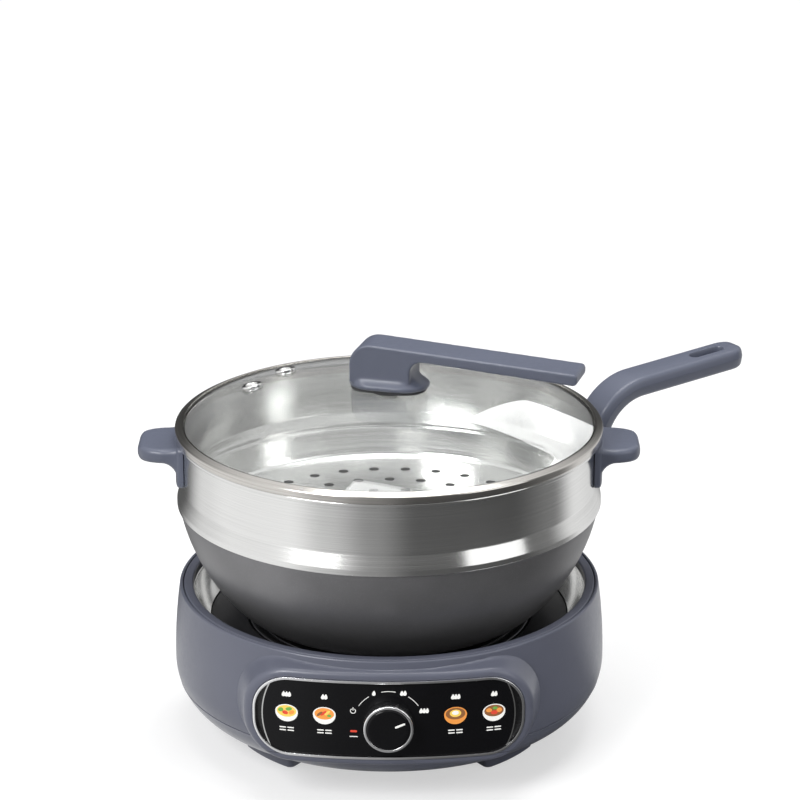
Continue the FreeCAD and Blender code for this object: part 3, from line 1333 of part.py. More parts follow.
def lid():
    seat = "(plateHeight + panDepth + steamerRise)"
    edgeUnder = f"({seat} + lidBandWall + lidBandGap)"
    sphere = "((lidEdge^2 + lidSag^2) / (2 * lidSag))"
    centre = f"({edgeUnder} + lidSag - {sphere})"
    outside = f"({sphere} + lidGlass)"

    def under(radius):
        return f"({centre} + sqrt({sphere}^2 - ({radius})^2))"

    def over(radius, extra="0"):
        return f"({centre} + sqrt(({outside} + ({extra}))^2 - ({radius})^2))"

    glass = turned("LidGlass", [
        ("lidHole", under("lidHole")),
        ("lidEdge", edgeUnder, sphere, "right"),
        ("lidEdge", over("lidEdge")),
        ("lidHole", over("lidHole"), outside, "left"),
    ])
    tilt = f"(asin(ventRadius / {outside}) / 1 deg)"
    vents = {"vent_rear": "ventFirst", "vent_left": "ventSecond"}
    holes = []
    for name, turn in vents.items():
        holes.append(perch(cylinder(name + "Hole", "ventHole", "6 * lidGlass"), turn, tilt, "ventRadius",
                           over("ventRadius"), "-3 * lidGlass"))
        tube = "(ventHole - ventFit)"
        lower = "(-lidGlass - 2 * ventFit)"
        grommet = turned(name + "Grommet", [
            ("ventBore", f"{lower} - lidBandWall"),
            ("ventFlange - 1", f"{lower} - lidBandWall"),
            ("ventFlange - 1", lower),
            (tube, lower),
            (tube, "2 * ventFit"),
            ("ventFlange", "2 * ventFit"),
            ("ventFlange", "ventFlangeHeight / 2"),
            ("(ventFlange + ventDish) / 2", "ventFlangeHeight"),
            ("ventDish", "ventFlangeHeight"),
            ("ventBore", "-ventFlangeHeight / 2"),
        ])
        named(name, perch(grommet, turn, tilt, "ventRadius", over("ventRadius")))
    named("lid_glass", cut("LidGlassBored", glass, *holes))

    slope = f"(asin(lidEdge / {outside}) / 1 deg)"
    lip = "(lidLipRadius - lidBandWall)"
    cover = "(lidBand - lidBandWall)"
    leg = f"({over('lidEdge', 'lidBandGap')} + (lidEdge - lidBandCover) * tan({slope}))"
    edgeTop = f"({over('lidEdge', 'lidBandGap')} - ({cover} - lidEdge) * tan({slope}))"
    bandTop = f"({over('lidEdge', 'lidBandGap + lidBandWall')} - (lidBand - lidEdge) * tan({slope}))"
    named("lid_rim", turned("LidRim", [
        (lip, f"{seat} - lidLipDepth"),
        ("lidLipRadius", f"{seat} - lidLipDepth"),
        ("lidLipRadius", seat),
        ("lidBand", seat, "lidBandWall"),
        ("lidBand", bandTop),
        ("lidBandCover", f"{over('lidBandCover', 'lidBandGap + lidBandWall')}"),
        ("lidBandCover", f"{over('lidBandCover', 'lidBandGap')}"),
        (cover, edgeTop),
        (cover, f"{seat} + lidBandWall"),
        (lip, f"{seat} + lidBandWall"),
    ]))

    apex = over("0")
    base = f"({apex} + gasketThickness)"
    long = "gripBaseLength - 2 * gasketInset"
    wide = "gripBaseWidth - 2 * gasketInset"
    low = f"({apex} - gasketThickness * 2)"
    plug = solid("GasketBlock", centred(long, wide, "0", f"({wide}) / 2.1"), "XY_Plane",
                 "3 * gasketThickness", low)
    dome = turned("DomeSpace", [
        ("0", f"{over('gripBaseLength')} - 20"),
        ("gripBaseLength", f"{over('gripBaseLength')} - 20"),
        ("gripBaseLength", over("gripBaseLength", "ventFit")),
        ("0", over("0", "ventFit"), f"{outside} + ventFit", "left"),
    ])
    bore = cylinder("GasketBore", "lidHole", "8 * gasketThickness", "0", "0", f"{apex} - 4 * gasketThickness")
    named("lid_gasket", swing(cut("LidGasket", plug, dome, bore), "gripAzimuth"))

    skirt = newBody("GripSkirt")
    pad(skirt, "GripFootPad", centredAt("gripBaseShift", "gripBaseLength", "gripBaseWidth",
                                        "gripBaseWidth / 2.1"), "XY_Plane", "gripFoot", base)
    long = "(gripBack + gripFront - 1)"
    sections = []
    for index, (rise, share) in enumerate((("gripFoot", 1), ("(gripFoot * 0.6 + gripFlare * 0.4)", 0.38),
                                           ("gripFlare", 0))):
        sketch = sketchOn(skirt, f"GripSection{index}", "XY_Plane", f"{base} + {rise}")
        outline(sketch, centredAt(
            f"((gripFront - gripBack) / 2 * (1 - {share}) + gripBaseShift * {share})",
            f"({long} + (gripBaseLength - {long}) * {share})",
            f"(gripWidth - 1 + (gripBaseWidth - gripWidth + 1) * {share})",
            f"(6 + (gripBaseWidth / 2.1 - 6) * {share})"))
        sections.append(sketch)
    loft = skirt.newObject("PartDesign::AdditiveLoft", "GripLoft")
    loft.Profile = sections[0]
    loft.Sections = sections[1:]
    skirt.Tip = loft
    top = f"({base} + gripHeight)"
    sag = "(gripDroop * (gripFront + gripThroat) / gripReach)"
    foot = f"({base} + gripFoot + 1)"
    arm = solid("GripArm", [
        ("-gripBack", foot),
        ("gripFront", foot),
        ("gripFront", f"{top} - gripArm - {sag} - gripThroat"),
        ("gripFront + gripThroat", f"{top} - gripArm - {sag}", "gripThroat", "right"),
        ("gripReach", f"{top} - gripArm - gripDroop"),
        ("gripReach", f"{top} - gripDroop"),
        ("-gripBack", top, "gripCorner"),
    ], "XZ_Plane", "gripWidth", both=True)
    edgeY = value("gripWidth / 2")
    floor = value(foot)
    reach = value("gripReach")

    def armEdge(edge):
        # The edges along both sides and round the end, but none at the foot
        spots = [edge.valueAt(edge.FirstParameter + share * (edge.LastParameter - edge.FirstParameter))
                 for share in (0, 0.5, 1)]
        onSide = all(abs(abs(spot.y) - edgeY) < 0.01 for spot in spots)
        atEnd = all(spot.x > reach - 0.01 for spot in spots)
        return (onSide or atEnd) and spots[1].z > floor + 0.5

    roundEdges(arm, "GripRound", "gripRound", armEdge)
    bore = cylinder("LidScrewBore", "lidScrewRadius", "lidScrewReach + 2", "0", "0", f"{base} - 1")
    named("lid_handle", swing(cut("LidHandle", fuse("LidHandleWhole", skirt, arm), bore), "gripAzimuth"))

    washerTop = f"({under('washerRadius')} - 0.05)"
    washer = turned("LidWasher", [
        ("lidScrewRadius", f"{washerTop} - washerThickness"),
        ("washerRadius", f"{washerTop} - washerThickness", "0.4"),
        ("washerRadius", washerTop),
        ("lidScrewRadius", washerTop),
    ])
    named("lid_washer", washer)
    low = f"({washerTop} - washerThickness)"
    shank = cylinder("LidScrewShank", "lidScrewRadius", f"{base} + lidScrewReach - {low}", "0", "0", low)
    head = cylinder("LidScrewHead", "lidScrewHead", "lidScrewHeadHeight", "0", "0", f"{low} - lidScrewHeadHeight")
    named("lid_screw", fuse("LidScrew", shank, head))


def centredAt(x, long, tall, corner):
    half = f"({long}) / 2"
    rise = f"({tall}) / 2"
    return rectangle(f"({x}) - {half}", f"({x}) + {half}", f"-({rise})", rise, corner)


# Levels and arcs that several pieces share
bowlCentre = "(bowlMouth - bowlArc * sin(bowlTopAngle))"
bowlCentreHeight = f"({ledgeTop} + sheetWall - bowlBend + bowlArc * cos(bowlTopAngle))"
bowlSeat = "(plateHeight - seatDrop)"
flangeUnder = f"({bowlSeat} - 2 * sheetWall)"
trayFloor = f"({bowlSeat} - sheetWall - trayDepth)"
plateUnder = "(plateHeight - plateThickness)"
elementHeight = f"({plateUnder} - elementRadius - elementClearance)"
kneeX = "(panBaseRadius + panHeelRadius * sin(panHeelAngle))"
kneeRise = "(panHeelRadius * (1 - cos(panHeelAngle)))"
panRun = f"(panRimRadius - {kneeX})"
panClimb = f"(panDepth - {kneeRise})"
panArc = (f"(({panRun}^2 + {panClimb}^2)"
          f" / (2 * ({panClimb} * cos(panHeelAngle) - {panRun} * sin(panHeelAngle))))")
panCentre = f"({kneeX} - {panArc} * sin(panHeelAngle))"
panCentreHeight = f"({kneeRise} + {panArc} * cos(panHeelAngle))"


def panAt(height, inset):
    # Radius of the upper wall of the pan at a height above its floor, this far inside its outer face
    return f"({panCentre} + sqrt(({panArc} - ({inset}))^2 - (({height}) - {panCentreHeight})^2))"


for make in (housing, rimAndBowl, heater, sensor, feet, panel, inlet, pan, steamer, lid):
    make()
    doc.recompute()
    print(make.__name__)

broken = [thing.Name for thing in doc.Objects if {"Invalid", "Error"} & set(thing.State)]
if broken:
    raise RuntimeError(f"Not built: {broken}")
os.makedirs("parts", exist_ok=True)
for node, thing in nodes.items():
    shape = thing.Shape
    if shape.isNull() or not shape.isValid():
        raise RuntimeError(f"Bad shape: {node}")
    shape.exportStep(f"parts/{node}.step")
    print(node, len(shape.Solids), round(shape.Volume))
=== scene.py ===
from math import asin, atan2, ceil, cos, degrees, dist, pi, radians, sin, sqrt, tan

import bmesh
import bpy
from mathutils import Matrix, Vector


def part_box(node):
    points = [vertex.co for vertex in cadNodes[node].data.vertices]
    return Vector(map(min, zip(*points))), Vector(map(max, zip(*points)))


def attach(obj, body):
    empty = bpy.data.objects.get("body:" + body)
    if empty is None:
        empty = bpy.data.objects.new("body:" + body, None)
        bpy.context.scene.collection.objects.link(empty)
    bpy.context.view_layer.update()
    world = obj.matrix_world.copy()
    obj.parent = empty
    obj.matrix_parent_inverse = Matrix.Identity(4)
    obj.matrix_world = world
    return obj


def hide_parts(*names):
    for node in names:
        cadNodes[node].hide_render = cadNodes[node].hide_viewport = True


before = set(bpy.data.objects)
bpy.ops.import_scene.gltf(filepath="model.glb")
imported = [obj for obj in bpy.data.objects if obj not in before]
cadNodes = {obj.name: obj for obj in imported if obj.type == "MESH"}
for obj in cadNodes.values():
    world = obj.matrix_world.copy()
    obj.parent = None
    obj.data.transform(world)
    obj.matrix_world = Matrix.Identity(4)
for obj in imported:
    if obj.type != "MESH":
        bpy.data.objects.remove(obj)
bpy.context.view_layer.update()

# Electric wok, stacked as in use. Pieces are drawn in millimetres and made metres when they are finished.
scene = bpy.context.scene


def spanOf(node):
    low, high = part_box(node)
    return low * 1000, high * 1000


# Outlines and shapes


def arc(x, z, radius, start, end, steps=12):
    angles = [radians(start + (end - start) * step / steps) for step in range(steps + 1)]
    return [(x + radius * cos(angle), z + radius * sin(angle)) for angle in angles]


def rounded(corners, steps=5):
    # Each corner is (x, z), or (x, z, radius) where it is rounded off
    points = []
    for index, corner in enumerate(corners):
        here = Vector(corner[:2])
        if len(corner) == 2:
            points.append(tuple(here))
            continue
        back = (Vector(corners[index - 1][:2]) - here).normalized()
        onward = (Vector(corners[(index + 1) % len(corners)][:2]) - here).normalized()
        half = back.angle(onward) / 2
        centre = here + (back + onward).normalized() * corner[2] / sin(half)
        first = here + back * corner[2] / tan(half) - centre
        last = here + onward * corner[2] / tan(half) - centre
        start = atan2(first.y, first.x)
        turn = (atan2(last.y, last.x) - start + pi) % (2 * pi) - pi
        points += [tuple(centre + Vector((cos(start + turn * step / steps), sin(start + turn * step / steps)))
                         * corner[2]) for step in range(steps + 1)]
    return points


def oblong(left, low, right, high, corner, steps=5):
    # A rectangle with four rounded corners
    corners = ((left, low), (right, low), (right, high), (left, high))
    return rounded([(*place, corner) for place in corners], steps)


# A slot's ends are round but for a sliver, so that no two points fall together
fullRound = 0.98


def divided(outline, countOf):
    # Adds even points between the corners of an outline; countOf says how many steps a run gets
    points = []
    for index, point in enumerate(outline):
        here, following = Vector(point), Vector(outline[(index + 1) % len(outline)])
        count = max(1, countOf(following - here, index))
        points += [tuple(here.lerp(following, step / count)) for step in range(count)]
    return points


def along(start, heading, distance):
    # The point at a distance from (x, z), with the heading in degrees from level
    return start[0] + distance * cos(radians(heading)), start[1] + distance * sin(radians(heading))


def turned(profile, steps=160, angle=360):
    # Spins a closed profile in the XZ plane round the Z axis
    shape = bmesh.new()
    verts = [shape.verts.new((x, 0, z)) for x, z in profile]
    edges = [shape.edges.new(pair) for pair in zip(verts, verts[1:])]
    edges.append(shape.edges.new((verts[-1], verts[0])))
    if angle < 360:
        bmesh.ops.rotate(shape, verts=verts, matrix=Matrix.Rotation(radians(-angle / 2), 3, "Z"))
        cap = [shape.faces.new(verts)]
        verts, edges = [], []
        bmesh.ops.spin(shape, geom=cap, cent=(0, 0, 0), axis=(0, 0, 1), angle=radians(angle), steps=steps)
    else:
        bmesh.ops.spin(shape, geom=verts + edges, cent=(0, 0, 0), axis=(0, 0, 1), angle=2 * pi, steps=steps,
                       use_merge=True)
    bmesh.ops.remove_doubles(shape, verts=shape.verts, dist=0.0005)
    bmesh.ops.recalc_face_normals(shape, faces=shape.faces)
    return shape


def lofted(loops, first=True, last=True):
    # Bridges closed loops of points, with a face over the first and the last
    shape = bmesh.new()
    rings = []
    for loop in loops:
        verts = [shape.verts.new(point) for point in loop]
        rings.append([shape.edges.new((verts[index - 1], verts[index])) for index in range(len(verts))])
        if first and loop is loops[0] or last and loop is loops[-1]:
            shape.faces.new(verts)
    for below, above in zip(rings, rings[1:]):
        bmesh.ops.bridge_loops(shape, edges=below + above)
    bmesh.ops.remove_doubles(shape, verts=shape.verts, dist=0.0005)
    bmesh.ops.recalc_face_normals(shape, faces=shape.faces)
    return shape


def slab(outline, low, high, plane="XY"):
    # A closed outline raised from low to high: along Z, or along -Y for an outline in XZ
    places = {"XY": lambda a, b, c: (a, b, c), "XZ": lambda a, b, c: (a, -c, b)}
    return lofted([[places[plane](a, b, level) for a, b in outline] for level in (low, high)])


def softenEdges(shape, radius, test=None, segments=4):
    shape.normal_update()
    edges = [edge for edge in shape.edges if edge.is_manifold and edge.calc_face_angle(0) > radians(40)
             and (test is None or test(edge))]
    bmesh.ops.bevel(shape, geom=edges, offset=radius, offset_type="OFFSET", affect="EDGES", segments=segments,
                    profile=0.5, material=-1, clamp_overlap=True)
    return shape


def rod(radius, low, high, sides=32):
    shape = bmesh.new()
    bmesh.ops.create_cone(shape, cap_ends=True, segments=sides, radius1=radius, radius2=radius,
                          depth=high - low, matrix=Matrix.Translation((0, 0, (low + high) / 2)))
    return shape


def moved(shape, matrix):
    bmesh.ops.transform(shape, matrix=matrix, verts=shape.verts)
    return shape


def swung(shape, azimuth):
    return moved(shape, Matrix.Rotation(radians(azimuth), 4, "Z"))


def perched(shape, azimuth, tilt, radius, height):
    # Stands a piece made about Z on a wall or dome, leaning out by the tilt
    turn = Matrix.Rotation(radians(azimuth), 4, "Z")
    lean = Matrix.Rotation(radians(tilt), 4, "Y")
    return moved(shape, turn @ Matrix.Translation((radius, 0, height)) @ lean)


def joined(*shapes):
    whole = bmesh.new()
    for shape in shapes:
        mesh = bpy.data.meshes.new("part")
        shape.to_mesh(mesh)
        shape.free()
        whole.from_mesh(mesh)
        bpy.data.meshes.remove(mesh)
    return whole


def throughModifier(shape, settings, tool=None):
    # Runs a shape through one or more modifiers and gives back the result as a shape
    objects = []
    for part in (shape, tool):
        if part is None:
            continue
        mesh = bpy.data.meshes.new("work")
        part.to_mesh(mesh)
        part.free()
        objects.append(bpy.data.objects.new("work", mesh))
        scene.collection.objects.link(objects[-1])
    for kind, values in settings:
        modifier = objects[0].modifiers.new(kind, kind)
        for key, setting in values.items():
            setattr(modifier, key, setting)
        if kind == "BOOLEAN":
            modifier.object = objects[1]
    result = bmesh.new()
    result.from_object(objects[0], bpy.context.evaluated_depsgraph_get())
    for thing in objects:
        mesh = thing.data
        bpy.data.objects.remove(thing)
        bpy.data.meshes.remove(mesh)
    return result


def carved(shape, *tools):
    settings = {"operation": "DIFFERENCE", "solver": "EXACT", "use_self": True}
    return throughModifier(shape, [("BOOLEAN", settings)], joined(*tools))


def moulded(voxel, smoothing, *shapes):
    # Melts shapes into one soft moulding
    return throughModifier(joined(*shapes), [
        ("REMESH", {"mode": "VOXEL", "voxel_size": voxel, "adaptivity": 0}),
        ("SMOOTH", {"factor": 0.5, "iterations": smoothing})])


def piece(shape, name, body, surface, nodes=(), sharp=35):
    # Makes the finished object: metres, smooth but for its sharp edges, riding on its body
    shape.normal_update()
    for edge in shape.edges:
        edge.smooth = not (edge.is_manifold and edge.calc_face_angle(0) > radians(sharp))
    for face in shape.faces:
        face.smooth = True
    bmesh.ops.scale(shape, vec=(0.001, 0.001, 0.001), verts=shape.verts)
    mesh = bpy.data.meshes.new(name)
    shape.to_mesh(mesh)
    shape.free()
    mesh.materials.append(surface)
    thing = bpy.data.objects.new(name, mesh)
    scene.collection.objects.link(thing)
    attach(thing, body)
    if nodes:
        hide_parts(*nodes)
    return thing


# Shared effects


def effect(name, numbers, results):
    # A node group, still empty, that takes a position and numbers and gives masks or heights
    group = bpy.data.node_groups.new(name, "ShaderNodeTree")
    group.interface.new_socket("Position", in_out="INPUT", socket_type="NodeSocketVector")
    for socket, number in numbers.items():
        made = group.interface.new_socket(socket, in_out="INPUT", socket_type="NodeSocketFloat")
        made.default_value = number
    for socket in results:
        group.interface.new_socket(socket, in_out="OUTPUT", socket_type="NodeSocketFloat")
    return group, group.nodes.new("NodeGroupInput"), group.nodes.new("NodeGroupOutput")


def calculate(tree, operation, *values):
    node = tree.nodes.new("ShaderNodeMath")
    node.operation = operation
    for index, item in enumerate(values):
        if isinstance(item, (int, float)):
            node.inputs[index].default_value = item
        else:
            tree.links.new(item, node.inputs[index])
    return node.outputs[0]


def remap(tree, source, low, high, toLow=0.0, toHigh=1.0):
    node = tree.nodes.new("ShaderNodeMapRange")
    node.clamp = True
    for key, number in (("From Min", low), ("From Max", high), ("To Min", toLow), ("To Max", toHigh)):
        node.inputs[key].default_value = number
    tree.links.new(source, node.inputs["Value"])
    return node.outputs["Result"]


def noise(tree, vector, scale, detail=2.0, roughness=0.5):
    node = tree.nodes.new("ShaderNodeTexNoise")
    node.inputs["Detail"].default_value = detail
    node.inputs["Roughness"].default_value = roughness
    if isinstance(scale, (int, float)):
        node.inputs["Scale"].default_value = scale
    else:
        tree.links.new(scale, node.inputs["Scale"])
    tree.links.new(vector, node.inputs["Vector"])
    return node.outputs["Fac"]


def makeTurnedGrain():
    # Fine lines that run round the Z axis, as spinning or polishing leaves them
    group, into, out = effect("turnedGrain", {"Lines": 1500.0, "Drift": 3.0}, ("Streak", "Cloud"))
    split = group.nodes.new("ShaderNodeSeparateXYZ")
    group.links.new(into.outputs["Position"], split.inputs[0])
    x, y, z = split.outputs
    squares = [calculate(group, "MULTIPLY", side, side) for side in (x, y)]
    radius = calculate(group, "SQRT", calculate(group, "ADD", *squares))
    angle = calculate(group, "ARCTAN2", y, x)
    around = group.nodes.new("ShaderNodeCombineXYZ")
    for index, (measure, key) in enumerate(((radius, "Lines"), (z, "Lines"), (angle, "Drift"))):
        group.links.new(calculate(group, "MULTIPLY", measure, into.outputs[key]), around.inputs[index])
    group.links.new(noise(group, around.outputs[0], 1.0, 3.0, 0.6), out.inputs["Streak"])
    group.links.new(noise(group, into.outputs["Position"], 14.0, 3.0), out.inputs["Cloud"])
    return group


def makeSpeckle():
    # Small pale flecks, with a soft cloud under them
    group, into, out = effect("speckle", {"Flecks": 900.0, "Rarity": 0.62}, ("Fleck", "Cloud", "Grain"))
    place = into.outputs["Position"]
    fine = noise(group, place, into.outputs["Flecks"], 1.0, 0.4)
    above = calculate(group, "SUBTRACT", fine, into.outputs["Rarity"])
    group.links.new(remap(group, above, 0.0, 0.06), out.inputs["Fleck"])
    group.links.new(noise(group, place, 16.0, 3.0), out.inputs["Cloud"])
    group.links.new(noise(group, place, 2600.0, 2.0), out.inputs["Grain"])
    return group


def makeMouldedSkin():
    # The faint orange peel and cloud of moulded or sprayed surfaces
    group, into, out = effect("mouldedSkin", {"Peel": 700.0}, ("Height", "Cloud", "Dust"))
    place = into.outputs["Position"]
    group.links.new(noise(group, place, into.outputs["Peel"], 2.0, 0.55), out.inputs["Height"])
    group.links.new(noise(group, place, 9.0, 4.0), out.inputs["Cloud"])
    group.links.new(noise(group, place, 210.0, 6.0, 0.7), out.inputs["Dust"])
    return group


turnedGrain = makeTurnedGrain()
speckle = makeSpeckle()
mouldedSkin = makeMouldedSkin()


# Finishes


class Finish:
    # One material while it is put together: its tree, its shader and its position input
    def __init__(self, name, colour, roughness, metallic=0.0, coat=0.0, coatRoughness=0.1):
        self.material = bpy.data.materials.new(name)
        self.material.use_nodes = True
        self.tree = self.material.node_tree
        self.shader = self.tree.nodes["Principled BSDF"]
        self.colour = (*colour, 1.0)
        for key, number in (("Base Color", self.colour), ("Roughness", roughness), ("Metallic", metallic),
                            ("Coat Weight", coat), ("Coat Roughness", coatRoughness)):
            self.shader.inputs[key].default_value = number
        self.position = self.tree.nodes.new("ShaderNodeTexCoord").outputs["Object"]
        self.material.diffuse_color = self.colour

    def effect(self, group, **values):
        node = self.tree.nodes.new("ShaderNodeGroup")
        node.node_tree = group
        self.tree.links.new(self.position, node.inputs["Position"])
        for key, number in values.items():
            node.inputs[key].default_value = number
        return node.outputs

    def mix(self, factor, first, second, blend="MIX"):
        # First and second are colours or sockets
        node = self.tree.nodes.new("ShaderNodeMix")
        node.data_type = "RGBA"
        node.blend_type = blend
        for socket, item in ((node.inputs[0], factor), (node.inputs[6], first), (node.inputs[7], second)):
            if isinstance(item, bpy.types.NodeSocket):
                self.tree.links.new(item, socket)
            else:
                socket.default_value = item
        return node.outputs[2]

    def feed(self, key, socket):
        self.tree.links.new(socket, self.shader.inputs[key])

    def bump(self, height, strength, distance):
        node = self.tree.nodes.new("ShaderNodeBump")
        node.inputs["Strength"].default_value = strength
        node.inputs["Distance"].default_value = distance
        self.tree.links.new(height, node.inputs["Height"])
        self.feed("Normal", node.outputs["Normal"])

    def height(self):
        split = self.tree.nodes.new("ShaderNodeSeparateXYZ")
        self.tree.links.new(self.position, split.inputs[0])
        return split.outputs[2]


def shade(colour, factor):
    return tuple(min(part * factor, 1.0) for part in colour[:3]) + (1.0,)


def moulding(name, colour, roughness, peel=700.0, relief=0.00002, coat=0.0, seam=None, mirror=0.5):
    # Satin or gloss plastic and paint
    finish = Finish(name, colour, roughness, coat=coat)
    finish.shader.inputs["Specular IOR Level"].default_value = mirror
    skin = finish.effect(mouldedSkin, Peel=peel)
    tone = finish.mix(remap(finish.tree, skin["Cloud"], 0.35, 0.65), shade(colour, 0.95), shade(colour, 1.05))
    rough = remap(finish.tree, skin["Dust"], 0.35, 0.7, roughness - 0.03, roughness + 0.05)
    if seam:
        # A dark line where two shells meet
        low, high = seam
        level = finish.height()
        line = calculate(finish.tree, "MULTIPLY", calculate(finish.tree, "GREATER_THAN", level, low),
                         calculate(finish.tree, "LESS_THAN", level, high))
        tone = finish.mix(line, tone, shade(colour, 0.12))
    finish.feed("Base Color", tone)
    finish.feed("Roughness", rough)
    finish.bump(skin["Height"], 0.25, relief)
    return finish.material


def spunMetal(name, colour, roughness, lines=1500.0, drift=2.0, contrast=0.06, anisotropy=0.5, dark=0.86):
    # Metal turned, spun or brushed round the axis
    finish = Finish(name, colour, roughness, metallic=1.0)
    grain = finish.effect(turnedGrain, Lines=lines, Drift=drift)
    tone = finish.mix(remap(finish.tree, grain["Streak"], 0.3, 0.7), shade(colour, dark), shade(colour, 1.06))
    tone = finish.mix(remap(finish.tree, grain["Cloud"], 0.4, 0.7, 0.0, 0.3), tone, shade(colour, 0.93))
    finish.feed("Base Color", tone)
    finish.feed("Roughness", remap(finish.tree, grain["Streak"], 0.25, 0.75, roughness - contrast,
                                   roughness + contrast))
    tangent = finish.tree.nodes.new("ShaderNodeTangent")
    tangent.direction_type = "RADIAL"
    tangent.axis = "Z"
    finish.feed("Tangent", tangent.outputs[0])
    finish.shader.inputs["Anisotropic"].default_value = anisotropy
    finish.shader.inputs["Anisotropic Rotation"].default_value = 0.25
    finish.bump(grain["Streak"], 0.12, 0.00002)
    return finish.material


def polishedMetal(name, colour, roughness, haze=0.04):
    finish = Finish(name, colour, roughness, metallic=1.0)
    skin = finish.effect(mouldedSkin, Peel=500.0)
    finish.feed("Base Color", finish.mix(remap(finish.tree, skin["Cloud"], 0.3, 0.7), shade(colour, 0.95),
                                         shade(colour, 1.03)))
    finish.feed("Roughness", remap(finish.tree, skin["Dust"], 0.3, 0.75, roughness, roughness + haze))
    finish.bump(skin["Height"], 0.08, 0.00001)
    return finish.material


coatMetallic = 0.55
fleckColour = (0.45, 0.45, 0.47, 1)
bareMetal = {"colour": (0.72, 0.72, 0.72, 1), "roughness": 0.2}


def panCoating(name, colour, roughness, flecks, rarity, edge):
    # Non-stick coat with flecks; the bare rim of the pan shows bright above the edge height
    finish = Finish(name, colour, roughness, metallic=coatMetallic)
    spots = finish.effect(speckle, Flecks=flecks, Rarity=rarity)
    tone = finish.mix(remap(finish.tree, spots["Cloud"], 0.35, 0.65), shade(colour, 0.9), shade(colour, 1.1))
    tone = finish.mix(calculate(finish.tree, "MULTIPLY", spots["Fleck"], 0.35), tone, fleckColour)
    rough = remap(finish.tree, spots["Grain"], 0.3, 0.7, roughness - 0.05, roughness + 0.06)
    bare = calculate(finish.tree, "GREATER_THAN", finish.height(), edge)
    coated = calculate(finish.tree, "SUBTRACT", 1.0, bare)
    tone = finish.mix(bare, tone, bareMetal["colour"])
    rough = calculate(finish.tree, "ADD", calculate(finish.tree, "MULTIPLY", rough, coated),
                      calculate(finish.tree, "MULTIPLY", bare, bareMetal["roughness"]))
    finish.feed("Metallic", remap(finish.tree, bare, 0, 1, coatMetallic, 1.0))
    finish.feed("Base Color", tone)
    finish.feed("Roughness", rough)
    finish.bump(spots["Grain"], 0.3, 0.00004)
    return finish.material


def clearGlass():
    finish = Finish("lidGlass", (0.985, 0.996, 0.992), 0.0)
    finish.shader.inputs["Transmission Weight"].default_value = 1.0
    finish.shader.inputs["IOR"].default_value = 1.45
    skin = finish.effect(mouldedSkin, Peel=60.0)
    finish.feed("Roughness", remap(finish.tree, skin["Dust"], 0.4, 0.8, 0.0, 0.02))
    finish.bump(skin["Cloud"], 0.02, 0.0002)
    return finish.material


def printed(name, colour, glow):
    # Printed marks that glow a little, on the black panel
    finish = Finish(name, colour, 0.4)
    skin = finish.effect(mouldedSkin, Peel=900.0)
    finish.feed("Base Color", finish.mix(skin["Cloud"], shade(colour, 0.93), shade(colour, 1.0)))
    finish.shader.inputs["Emission Color"].default_value = (*colour, 1)
    finish.shader.inputs["Emission Strength"].default_value = glow
    return finish.material


blue = (0.118, 0.126, 0.168)
bareRim = 0.1802
seamLevel = spanOf("upper_housing")[0].z / 1000
seamShadow = (seamLevel - 0.0004, seamLevel)
housingPaint = moulding("housingPaint", blue, 0.33, 900.0, 0.000015, coat=0.15)
bossPaint = moulding("bossPaint", blue, 0.33, 900.0, 0.000015, coat=0.15, seam=seamShadow)
handlePlastic = moulding("handlePlastic", (0.108, 0.120, 0.165), 0.34, 1200.0, 0.00002)
footPlastic = moulding("footPlastic", shade(blue, 0.92)[:3], 0.42, 1000.0, 0.00002)
blackPlastic = moulding("blackPlastic", (0.012, 0.012, 0.013), 0.35, 1500.0)
trayPlastic = moulding("trayPlastic", (0.012, 0.012, 0.013), 0.25, 1500.0, mirror=0.35)
glossBlack = moulding("glossBlack", (0.005, 0.005, 0.006), 0.09, 60.0, 0.00001, mirror=0.22)
rubber = moulding("rubber", (0.02, 0.02, 0.02), 0.75, 1800.0, 0.00006)
gasketRubber = moulding("gasketRubber", (0.035, 0.036, 0.04), 0.6, 1500.0, 0.00004)
ceramicWhite = moulding("ceramicWhite", (0.75, 0.72, 0.66), 0.3, 400.0)
boardGreen = moulding("boardGreen", (0.02, 0.13, 0.05), 0.35, 1200.0)
componentBlack = moulding("componentBlack", (0.02, 0.02, 0.022), 0.5, 1500.0)
bowlSteel = spunMetal("bowlSteel", (0.86, 0.86, 0.85), 0.16, 900.0, 1.5, 0.04, 0.35, dark=0.93)
tierSteel = spunMetal("tierSteel", (0.76, 0.76, 0.75), 0.20, 1700.0, 1.0, 0.05, 0.7, dark=0.92)
rimSteel = spunMetal("rimSteel", (0.62, 0.60, 0.57), 0.17, 900.0, 1.0, 0.04, 0.3)
zincSteel = spunMetal("zincSteel", (0.56, 0.56, 0.55), 0.34, 800.0, 2.0, 0.06, 0.2)
sensorSteel = spunMetal("sensorSteel", (0.80, 0.79, 0.77), 0.22, 2600.0, 0.0, 0.08, 0.4)
plateCoat = spunMetal("plateCoat", (0.16, 0.16, 0.17), 0.40, 1300.0, 0.5, 0.08, 0.3, dark=0.7)
ringEnamel = moulding("ringEnamel", (0.030, 0.030, 0.033), 0.32, 800.0)
chromePolish = polishedMetal("chromePolish", (0.90, 0.90, 0.91), 0.20)
rivetSteel = polishedMetal("rivetSteel", (0.74, 0.74, 0.73), 0.12)
strapSteel = polishedMetal("strapSteel", (0.62, 0.62, 0.62), 0.15)
elementSteel = polishedMetal("elementSteel", (0.35, 0.32, 0.28), 0.4, 0.1)
brassPin = polishedMetal("brassPin", (0.72, 0.55, 0.25), 0.25)
panInside = panCoating("panInside", (0.185, 0.184, 0.190), 0.40, 2300.0, 0.66, bareRim)
lidClear = clearGlass()
markWhite = printed("markWhite", (0.85, 0.85, 0.82), 0.35)
markOrange = printed("markOrange", (0.85, 0.32, 0.06), 0.30)
